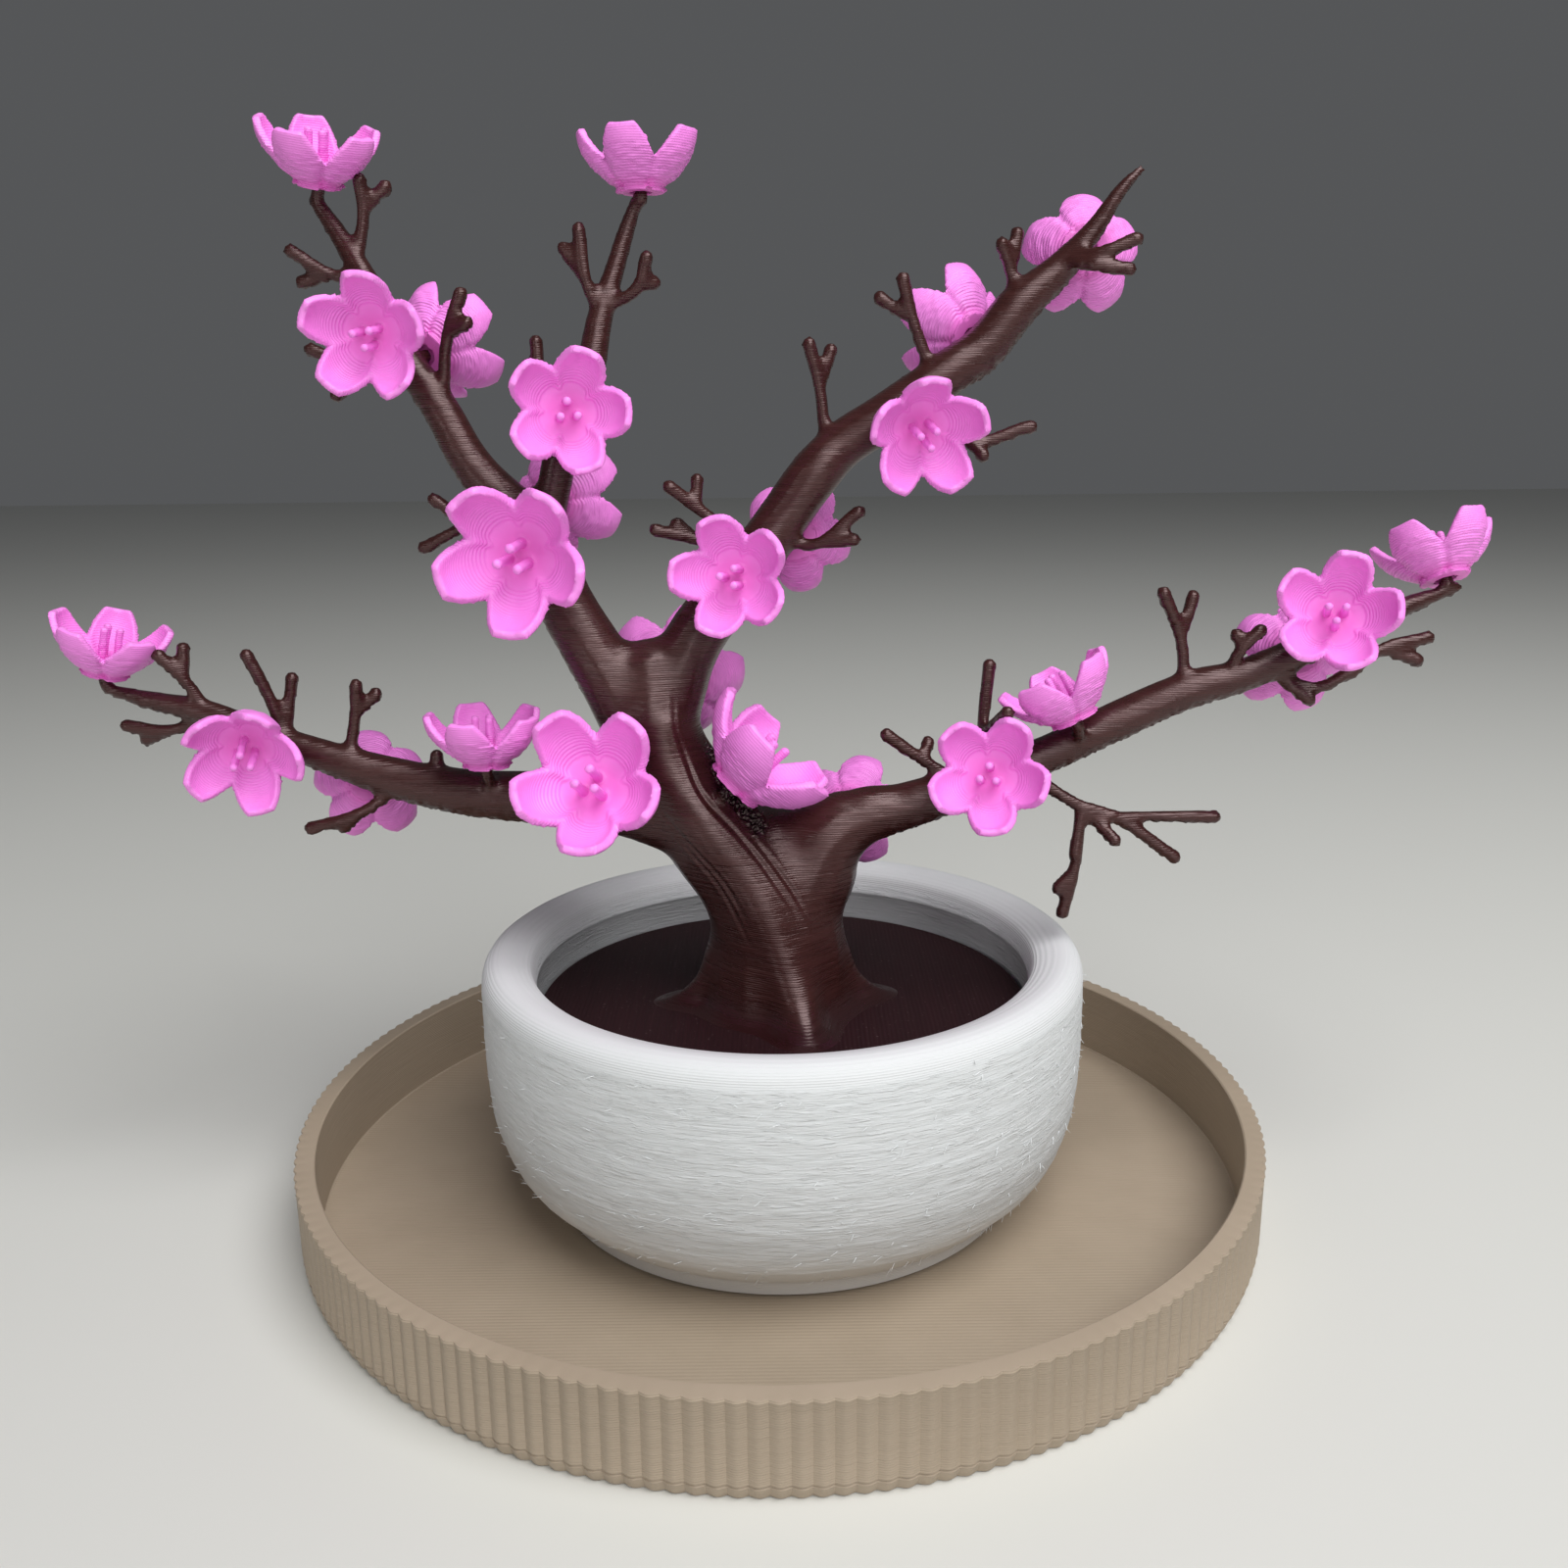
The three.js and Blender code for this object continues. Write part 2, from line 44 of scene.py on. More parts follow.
# The drip tray is a shallow round cup of beige plastic, printed in one piece from the floor up.
# Its outside is all fine rounded ribs, broken by one thin line a little above the table.
TRAY_RADIUS = 46.7 * MM
TRAY_HEIGHT = 8.5 * MM
TRAY_WALL = 1.8 * MM
TRAY_FLOOR = 0.8 * MM
TRAY_LINE = 1.2 * MM
RIB_COUNT = 190
RIB_DEPTH = 0.26 * MM
RIB_STEPS = 8
RIB_FULLNESS = 1.25
# What is within this of the tray's edge is its outside.
TRAY_EDGE = 0.8 * MM
# Points this close to each other become one.
SEAM = 0.002 * MM
# The print's layers are this high, and the lines of a flat layer are this far apart.
LAYER = 0.2 * MM
FLOOR_LINE = 0.42 * MM


def tone(red, green, blue):
    """A colour as the shader takes it, from its red, green and blue shares of 255."""
    shares = [share / 255 for share in (red, green, blue)]
    return (*[s / 12.92 if s <= 0.04045 else ((s + 0.055) / 1.055) ** 2.4 for s in shares], 1)


class Field:
    """A number that varies over a surface: a node's output, to which operators add Math nodes."""

    def __init__(self, finish, socket):
        self.finish = finish
        self.socket = socket

    def maths(self, operation, *values):
        return self.finish.node("ShaderNodeMath", {"operation": operation}, dict(enumerate(values)))

    def __add__(self, other):
        return self.maths("ADD", self, other)

    def __radd__(self, other):
        return self.maths("ADD", other, self)

    def __rsub__(self, other):
        return self.maths("SUBTRACT", other, self)

    def __mul__(self, other):
        return self.maths("MULTIPLY", self, other)

    def __rmul__(self, other):
        return self.maths("MULTIPLY", other, self)

    def wave(self):
        return self.maths("SINE", self)

    def within(self, low, high):
        """0 below low, 1 above high and a smooth rise between them."""
        settings = {"interpolation_type": "SMOOTHSTEP"}
        inputs = {"Value": self, "From Min": low, "From Max": high}
        return self.finish.node("ShaderNodeMapRange", settings, inputs)


# The Mix node's sockets for colours.
MIX_SHARE = 0
MIX_FIRST = 6
MIX_SECOND = 7
MIX_RESULT = 2


class Finish:
    """A plastic finish: one Principled shader and the nodes that vary it."""

    def __init__(self, name, constants):
        self.material = bpy.data.materials.new(name)
        self.material.use_nodes = True
        self.tree = self.material.node_tree
        self.tree.nodes.clear()
        self.shader = self.tree.nodes.new("ShaderNodeBsdfPrincipled")
        for socket, value in constants.items():
            self.shader.inputs[socket].default_value = value
        output = self.tree.nodes.new("ShaderNodeOutputMaterial")
        self.tree.links.new(self.shader.outputs[0], output.inputs["Surface"])
        self.place = self.node("ShaderNodeTexCoord", output="Object")

    def node(self, kind, settings=None, inputs=None, output=0):
        """The output of a new node with these settings, and these numbers or fields at its inputs."""
        made = self.tree.nodes.new(kind)
        for name, value in (settings or {}).items():
            setattr(made, name, value)
        for name, value in (inputs or {}).items():
            if isinstance(value, Field):
                self.tree.links.new(value.socket, made.inputs[name])
            else:
                made.inputs[name].default_value = value
        return Field(self, made.outputs[output])

    def along(self, axis):
        """The place along X, Y or Z, in metres."""
        return self.node("ShaderNodeSeparateXYZ", inputs={0: self.place}, output=axis)

    def attribute(self, name, output):
        """What the piece's own mesh says under that name."""
        return self.node("ShaderNodeAttribute", {"attribute_name": name}, output=output)

    def stretched(self, scale, detail=2, roughness=0.5, twist=0):
        """Noise from 0 to 1 whose grains are as many per metre along X, Y and Z as scale says."""
        scaled = self.node("ShaderNodeVectorMath", {"operation": "MULTIPLY"}, {0: self.place, 1: scale})
        inputs = {"Vector": scaled, "Scale": 1, "Detail": detail}
        inputs.update({"Roughness": roughness, "Distortion": twist})
        return self.node("ShaderNodeTexNoise", inputs=inputs)

    def blend(self, share, first, second):
        """The first colour where share is 0 and the second where it is 1."""
        inputs = {MIX_SHARE: share, MIX_FIRST: first, MIX_SECOND: second}
        return self.node("ShaderNodeMix", {"data_type": "RGBA"}, inputs, MIX_RESULT)

    def colour(self, value):
        self.tree.links.new(value.socket, self.shader.inputs["Base Color"])

    def roughness(self, value):
        self.tree.links.new(value.socket, self.shader.inputs["Roughness"])

    def relief(self, height):
        """Low relief, with height in metres."""
        bump = self.node("ShaderNodeBump", inputs={"Height": height, "Strength": 1, "Distance": 1})
        self.tree.links.new(bump.socket, self.shader.inputs["Normal"])


def spun(profile, steps, sectors=20):
    """A closed shape of revolution about Z, from (radius, height) pairs.

    One sector is spun and the rest are copies of it.
    """
    shape = bmesh.new()
    corners = [shape.verts.new((radius, 0, height)) for radius, height in profile]
    sides = [shape.edges.new(pair) for pair in zip(corners, corners[1:])]
    bmesh.ops.spin(
        shape, geom=corners + sides, axis=(0, 0, 1), cent=(0, 0, 0), angle=math.tau / sectors,
        steps=steps // sectors, use_merge=False,
    )
    sector = bpy.data.meshes.new("sector")
    shape.to_mesh(sector)
    for _ in range(sectors - 1):
        sector.transform(Matrix.Rotation(math.tau / sectors, 4, "Z"))
        shape.from_mesh(sector)
    bpy.data.meshes.remove(sector)
    bmesh.ops.remove_doubles(shape, verts=shape.verts, dist=SEAM)
    bmesh.ops.recalc_face_normals(shape, faces=shape.faces)
    return shape


def finished(shape, name, finish, nodes, crease=40):
    """Turns a bmesh into the named piece that stands for those nodes."""
    mesh = bpy.data.meshes.new(name)
    shape.to_mesh(mesh)
    shape.free()
    mesh.materials.append(finish.material)
    mesh.shade_smooth()
    mesh.set_sharp_from_angle(angle=math.radians(crease))
    piece = bpy.data.objects.new(name, mesh)
    bpy.context.scene.collection.objects.link(piece)
    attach(piece, "root")
    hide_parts(*nodes)
    return piece


tray_inside = TRAY_RADIUS - TRAY_WALL
tray_profile = [
    (0, 0),
    (TRAY_RADIUS - 0.7 * MM, 0),
    (TRAY_RADIUS - 0.45 * MM, 0.1 * MM),
    (TRAY_RADIUS - 0.3 * MM, 0.4 * MM),
    (TRAY_RADIUS - 0.05 * MM, TRAY_LINE - 0.12 * MM),
    (TRAY_RADIUS - 0.16 * MM, TRAY_LINE),
    (TRAY_RADIUS, TRAY_LINE + 0.15 * MM),
    (TRAY_RADIUS, TRAY_HEIGHT - 0.4 * MM),
    (TRAY_RADIUS + 0.08 * MM, TRAY_HEIGHT - 0.25 * MM),
    (TRAY_RADIUS + 0.04 * MM, TRAY_HEIGHT - 0.06 * MM),
    (TRAY_RADIUS - 0.2 * MM, TRAY_HEIGHT),
    (tray_inside + 0.15 * MM, TRAY_HEIGHT),
    (tray_inside, TRAY_HEIGHT - 0.12 * MM),
    (tray_inside, TRAY_FLOOR + 0.15 * MM),
    (tray_inside - 0.15 * MM, TRAY_FLOOR),
    (0, TRAY_FLOOR),
]
tray = spun(tray_profile, RIB_COUNT * RIB_STEPS)
for vert in tray.verts:
    radius = vert.co.xy.length
    if radius > TRAY_RADIUS - TRAY_EDGE:
        angle = math.atan2(vert.co.y, vert.co.x)
        groove = 1 - abs(math.sin(angle * RIB_COUNT / 2)) ** RIB_FULLNESS
        vert.co.xy *= (radius - RIB_DEPTH * groove) / radius

tray_finish = Finish("beige_plastic", {"Roughness": 0.62, "IOR": 1.45})
tray_up = tray_finish.along("Z")
tray_streaks = tray_finish.stretched((180, 180, 4200), detail=3)
tray_clouds = tray_finish.stretched((40, 40, 40))
tray_mix = tray_streaks * 0.45 + tray_clouds * 0.55
tray_finish.colour(tray_finish.blend(tray_mix, tone(152, 137, 118), tone(176, 160, 141)))
tray_on_floor = 1 - tray_up.within(TRAY_FLOOR + 0.05 * MM, TRAY_FLOOR + 0.2 * MM)
tray_lines = (tray_finish.along("Y") * (math.tau / FLOOR_LINE)).wave() * tray_on_floor
tray_layers = (tray_up * (math.tau / LAYER)).wave() * (1 - tray_on_floor)
tray_finish.relief(tray_lines * 0.008 * MM + tray_layers * 0.006 * MM + tray_streaks * 0.03 * MM)
finished(tray, "tray_ribbed", tray_finish, ["tray"], crease=35)

# The pot is a low bowl of white plastic on a narrower foot, printed with a roughened skin.
# Its outside is covered in fine sideways streaks and stray whiskers; the rim and the foot are smoother.
POT_CENTRE = Vector((0.4 * MM, -0.7 * MM, 0))
POT_STEPS = 480
POT_SKIN_STEP = 0.27 * MM
POT_SKIN_DEPTH = 0.07 * MM
POT_SKIN_LOW = 2.9 * MM
POT_SKIN_HIGH = 23.4 * MM
# The rough skin grows in over the rise above its low edge and dies out over the fall below its high
# one. All of it lies further out than POT_INSIDE.
POT_SKIN_RISE = 2 * MM
POT_SKIN_FALL = 1.2 * MM
POT_INSIDE = 24.3 * MM
# Wrinkles and grains per metre along X, Y and Z, and the share of the skin's depth that each takes.
POT_WRINKLES = (150, 150, 520)
POT_WRINKLE_SHARE = 0.5
POT_GRAINS = (420, 420, 2000)
POT_GRAIN_SHARE = 0.7
# Whiskers' lengths and thicknesses are in millimetres, and their turns in degrees. More grow low down.
WHISKER_COUNT = 640
WHISKER_LENGTHS = (0.35, 1.1)
WHISKER_THICKNESSES = (0.035, 0.06)
WHISKER_TURNS = (4, 50)
WHISKER_LEAN = 90
WHISKER_SPREAD = 22
WHISKER_LOWNESS = 1.5
WHISKER_ROOT = 0.02 * MM
WHISKER_OUT = 0.35
WHISKER_TIP = 0.3
SOIL_TOP = 19.3 * MM
SOIL_THICKNESS = 2.6 * MM
POT_MOUTH_RADIUS = 24 * MM
# Pieces that fit into each other stay this far apart.
GAP = 0.3 * MM

# Radius and height of the outside, from the foot up to the rim's outer round.
POT_OUTSIDE = [
    (22.9, 1.1), (23.1, 1.9), (23.3, 2.5), (23.7, 2.9), (24.5, 3.4), (25.6, 4.5), (26.6, 5.5),
    (27.2, 6.5), (27.65, 7.5), (28, 8.5), (28.3, 9.5), (28.55, 10.5), (28.8, 12.5), (28.95, 15),
    (29, 18), (29, 21), (28.95, 23.2),
]
# Radius and height of the rim, from its outer round over the crown and down the inner wall.
POT_RIM = [
    (28.9, 23.6), (28.75, 24.1), (28.4, 24.65), (27.9, 25), (27.3, 25.2), (26.6, 25.15), (25.6, 24.85),
    (24.7, 24.5), (24.3, 24.2), (24.05, 23.6), (23.9, 22.5), (23.82, 22.3), (23.9, 22.12),
    (24.1, 21.95), (24.1, 16.4), (22.8, 16.4), (22.8, 9), (20.2, 5), (0, 5),
]
POT_UNDERSIDE = (0, 1.1)


def filled(points, step):
    """The points of a line with more put in between, no further apart than step."""
    line = [points[0]]
    for start, end in zip(points, points[1:]):
        parts = max(1, math.ceil(math.dist(start, end) / step))
        way = np.subtract(end, start)
        line += [tuple(np.add(start, way * i / parts)) for i in range(1, parts + 1)]
    return line


def joined(shapes):
    """One bmesh that holds all of these."""
    whole = shapes[0]
    for shape in shapes[1:]:
        mesh = bpy.data.meshes.new("part")
        shape.to_mesh(mesh)
        shape.free()
        whole.from_mesh(mesh)
        bpy.data.meshes.remove(mesh)
    return whole


def in_metres(profile):
    """The same (radius, height) pairs in metres."""
    return [(radius * MM, height * MM) for radius, height in profile]


def grains(place, scale):
    """Noise from -1 to 1 at a place, with as many grains per metre along X, Y and Z as scale says."""
    return noise.noise(Vector([step * count for step, count in zip(place, scale)]))


pot_outside = filled(in_metres(POT_OUTSIDE), POT_SKIN_STEP)
pot = spun([*in_metres([POT_UNDERSIDE]), *pot_outside, *in_metres(POT_RIM)], POT_STEPS)
for vert in pot.verts:
    rising = min(1, max(0, (vert.co.z - POT_SKIN_LOW) / POT_SKIN_RISE))
    falling = min(1, max(0, (POT_SKIN_HIGH - vert.co.z) / POT_SKIN_FALL))
    radius = vert.co.xy.length
    if rising > 0 and falling > 0 and radius > POT_INSIDE:
        wrinkles = POT_WRINKLE_SHARE * grains(vert.co, POT_WRINKLES)
        push = wrinkles + POT_GRAIN_SHARE * grains(vert.co, POT_GRAINS)
        vert.co.xy *= (radius + POT_SKIN_DEPTH * rising * falling * push) / radius

dice = random.Random(4)
whiskers = bmesh.new()
for _ in range(WHISKER_COUNT):
    angle = dice.uniform(0, math.tau)
    height = POT_SKIN_LOW + (POT_SKIN_HIGH - POT_SKIN_LOW) * dice.random() ** WHISKER_LOWNESS
    radius = np.interp(height, [z for r, z in pot_outside], [r for r, z in pot_outside])
    length = dice.uniform(*WHISKER_LENGTHS) * MM
    turn = Matrix.Rotation(angle, 4, "Z")
    lean = Matrix.Rotation(math.radians(dice.gauss(WHISKER_LEAN, WHISKER_SPREAD)), 4, "X")
    outward = Matrix.Rotation(math.radians(dice.uniform(*WHISKER_TURNS)), 4, "Z")
    stand = Matrix.Translation((radius - WHISKER_ROOT, 0, height))
    thickness = dice.uniform(*WHISKER_THICKNESSES) * MM
    bmesh.ops.create_cone(
        whiskers, cap_ends=True, segments=4, radius1=thickness, radius2=WHISKER_TIP * thickness,
        depth=length,
        matrix=turn @ stand @ outward @ lean @ Matrix.Translation((0, 0, length * WHISKER_OUT)),
    )
pot = joined([pot, whiskers])
bmesh.ops.translate(pot, verts=pot.verts, vec=POT_CENTRE)

pot_finish = Finish("white_plastic", {"Roughness": 0.8, "IOR": 1.45})
pot_up = pot_finish.along("Z")
pot_streaks = pot_finish.stretched((300, 300, 2100), detail=4, roughness=0.6, twist=0.9)
pot_base = 1 - pot_up.within(2 * MM, 9 * MM)
pot_below_rim = 1 - pot_up.within(23 * MM, 23.8 * MM)
pot_on_skin = pot_up.within(POT_SKIN_LOW, 4 * MM) * pot_below_rim
pot_skin = pot_finish.blend(pot_streaks, tone(210, 214, 215), tone(226, 228, 229))
pot_white = pot_finish.blend(pot_on_skin, tone(216, 218, 219), pot_skin)
pot_finish.colour(pot_finish.blend(pot_base * 0.4, pot_white, tone(207, 201, 194)))
pot_wrinkles = pot_finish.stretched((520, 520, 3900), detail=3, roughness=0.6, twist=1.1)
pot_wrinkles = pot_wrinkles.within(0.5, 0.75)
pot_fibre = pot_finish.stretched((160, 160, 4600), detail=3, roughness=0.6, twist=0.4)
pot_layers = (pot_up * (math.tau / LAYER)).wave()
pot_rough = pot_wrinkles * 0.045 * MM + pot_fibre * 0.07 * MM + pot_streaks * 0.06 * MM
pot_finish.relief(pot_on_skin * pot_rough + (1 - pot_on_skin) * pot_layers * 0.01 * MM)
finished(pot, "pot_bowl", pot_finish, ["pot"], crease=60)

# The soil is a thin dark brown disc of plastic that drops onto the pot's inner ledge.
# Its top shows the straight lines of its last layer; the trunk's plug stands in its hole.
SOIL_STEPS = 200
TRUNK_FOOT = Vector((0, -1.5 * MM, 0))
SOIL_HOLE = 6.3 * MM
SOIL_BEVEL = 0.1 * MM
soil_radius = POT_MOUTH_RADIUS - GAP
soil_low = SOIL_TOP - SOIL_THICKNESS
soil_profile = [
    (SOIL_HOLE, SOIL_TOP),
    (SOIL_HOLE, soil_low),
    (soil_radius - SOIL_BEVEL, soil_low),
    (soil_radius, soil_low + SOIL_BEVEL),
    (soil_radius, SOIL_TOP - SOIL_BEVEL),
    (soil_radius - SOIL_BEVEL, SOIL_TOP),
    (SOIL_HOLE, SOIL_TOP),
]
soil = spun(soil_profile, SOIL_STEPS)
# The hole lies under the trunk, a little off the disc's middle.
for vert in soil.verts:
    vert.co += TRUNK_FOOT if vert.co.xy.length < SOIL_HOLE + MM else POT_CENTRE

soil_finish = Finish("soil_plastic", {"Roughness": 0.6, "IOR": 1.3})
soil_specks = soil_finish.stretched((3200, 3200, 3200), detail=1).within(0.7, 0.8)
soil_lines = (soil_finish.along("X") * (math.tau / FLOOR_LINE)).wave()
soil_streaks = soil_finish.stretched((1800, 90, 400), detail=2)
soil_mix = soil_streaks * 0.6 + soil_finish.stretched((60, 60, 60)) * 0.4
soil_brown = soil_finish.blend(soil_mix, tone(28, 9, 13), tone(46, 20, 24))
soil_finish.colour(soil_finish.blend(soil_specks * 0.6, soil_brown, tone(110, 92, 92)))
soil_finish.relief(soil_lines * 0.012 * MM + soil_streaks * 0.05 * MM)
finished(soil, "soil_disc_lined", soil_finish, ["soil_disc"], crease=35)

# The tree is one moulding of dark brown plastic: trunk, root flare, branches, twigs with knobbed
# ends, and a short peg for every blossom. Its plug stands in the soil disc's hole. Every fork is
# rounded out, and fine grooves run up the trunk.
TREE_GRAIN = 0.355 * MM
FORK_GRAIN = 0.5 * MM
# Rounds of filling out the hollows, first on the thick limbs and then on the whole, and of smoothing.
FORK_ROUNDS = 55
TREE_ROUNDS = 10
TREE_SMOOTHING = 6
PUSH_BACK = 1.04
PLUG_RADIUS = 6 * MM
PLUG_STEPS = 40
# The roots are ridges that thin out into the soil; the front one comes down from the upper branches
# as a raised strand. What is above ROOT_CUT stays on the trunk.
ROOTS = [
    [
        (-2, -1.5, 28, 4.4), (-4.6, -1.6, 23.5, 2.8), (-7.3, -1.8, 20.4, 1.5), (-9.8, -2, 19.2, 0.9),
        (-12.4, -2.1, 18.7, 0.6),
    ],
    [
        (2, -1.5, 28, 4.4), (4.6, -1.3, 23.5, 2.7), (7.3, -1, 20.4, 1.4), (9.6, -0.6, 19.2, 0.9),
        (11.8, -0.3, 18.7, 0.6),
    ],
    [
        (-10.8, -1, 47, 2.9), (-10.2, -1.7, 43.5, 2.6), (-8.6, -2.9, 40.3, 2.4), (-6, -4.2, 37, 2.4),
        (-3.3, -4.6, 33.6, 2.5), (-1.2, -5.4, 30, 2.6), (0.2, -6.2, 26.5, 2.3), (1.4, -7.3, 22.5, 2.4),
        (2.2, -9.6, 19.8, 2), (2.8, -13, 18.1, 1.5),
    ],
    [(0, 1, 28, 4), (0.3, 4.3, 22.5, 2.4), (0.6, 8.4, 18.9, 0.8)],
]
# The two widest forks are webbed.
WEBS = [
    [(-3, 0, 36.5, 2.6), (0, -0.5, 35.4, 2.9), (3, -0.8, 36, 2.9), (7, -1, 37.6, 2.8)],
    [(-13.5, 0.8, 51.5, 2.5), (-11.8, 0.8, 52.4, 2.3), (-9.8, 0.8, 52, 2.5)],
]
ROOT_CUT = SOIL_TOP - 0.1 * MM
GROUND_TOP = SOIL_TOP - 0.25 * MM
GROUND_RADIUS = 15 * MM
GROUND_STEPS = 60
# A twig's radius at its foot, at its fork, at its tips and of the knobs on them, and how much thinner
# its second prong starts. Radii are in millimetres, as the pegs' sizes are.
STEM = 0.62
FORK = 0.58
TIP = 0.66
KNOB = 0.7
SECOND_PRONG = 0.8
PEG_RADIUS = 0.6
PEG_NECK = 0.6
PEG_ENTRY = 0.5
BRANCH_STEPS = 9
# Undersides are the places that face down more than this, clear of the soil and of the trunk.
FACING_DOWN = -0.3
CLEAR_OF_SOIL = 30 * MM
TRUNK_MIDDLE = -4 * MM
CLEAR_OF_TRUNK = 14 * MM
SAG_GRAIN = 0.42 * MM
SAG_DEPTH = 0.22 * MM
SAG_RISE = 1.5

# Trunk and branches, as points along each middle line: x, y, z and the radius there, in millimetres.
BRANCHES = {
    "trunk": [
        (0, -1.5, 19.6, 7), (0, -1.5, 26.5, 6.3), (-2, -1, 31.5, 5.8), (-5.5, -0.5, 36, 5.4),
        (-8.5, 0, 40, 4.7), (-10.5, 0.5, 43.5, 4.3), (-11.5, 0.5, 47, 4.1), (-11.5, 1, 50, 3.7),
        (-12, 1, 53, 2.9),
    ],
    "lower_left": [
        (-5, -0.5, 36, 4.2), (-9.5, -0.5, 37.5, 3.6), (-14.5, 0, 38.5, 2.9), (-22, 0, 39.5, 2.6),
        (-29.5, 0.5, 40, 2.3), (-37, 1, 41.5, 2), (-41.5, 1, 43, 1.7), (-48.5, 1.5, 45.5, 1.3),
        (-55, 2, 48, 1.2), (-60, 2.5, 49, 0.9), (-64, 3, 50, 0.5),
    ],
    "lower_right": [
        (0.5, -1, 28, 5.3), (3, -1, 32, 4.7), (5, -1, 35.5, 3.8), (8, -1, 37.5, 2.9),
        (12, -1, 38.5, 2.3), (18, -1, 40.5, 2), (26, -0.5, 43.5, 1.8), (32.5, 0, 46.5, 1.9),
        (39.5, 0, 49.5, 1.8), (43.5, 0, 50.5, 1.6), (49.5, 0, 53, 1.5), (56, 0.5, 55.5, 1.1),
        (59.5, 1, 57, 0.9), (64, 1.5, 58.5, 0.5),
    ],
    "upper_left": [
        (-10.5, 0.5, 42, 3.3), (-13, 0.5, 46, 3.3), (-15, 0.5, 50, 3.1), (-17, 1, 53.5, 2.9),
        (-19.5, 1.5, 58, 2.7), (-21, 2, 62, 2.5), (-23, 2, 65.5, 2.2), (-27.5, 2.5, 70.5, 1.9),
        (-30.5, 3, 76, 1.7), (-33.5, 3.5, 80.5, 1.5), (-36, 4, 86, 1.2), (-39, 5.5, 91, 0.9),
        (-41, 6, 94, 0.65),
    ],
    "middle_left": [
        (-21.5, 2, 64, 1.8), (-20, 2, 69, 1.6), (-19, 2.5, 73.5, 1.5), (-16.5, 3, 79, 1.4),
        (-15.5, 4, 83.5, 1.2), (-14, 5, 88, 0.9), (-13, 5.5, 91, 0.8), (-12, 5.5, 93.5, 0.6),
    ],
    "upper_right": [
        (-9.5, 0, 41.5, 3.7), (-10.5, 0.5, 46, 3.4), (-9.5, 1, 50, 3.1), (-7.5, 1.5, 54.5, 2.8),
        (-3, 2.5, 60, 2.6), (1, 3.5, 65.5, 2.4), (4, 3.5, 69.5, 2.4), (6.5, 4, 72, 2.2),
        (10.5, 4, 74.5, 2.2), (16.5, 4.5, 78.5, 2.1), (19.5, 5, 80.5, 2.1), (22.5, 5, 84, 2),
        (27, 5, 88, 1.4), (29.5, 4.5, 91, 0.9), (31.5, 4, 94, 0.6), (33, 4, 95.5, 0.4),
    ],
}

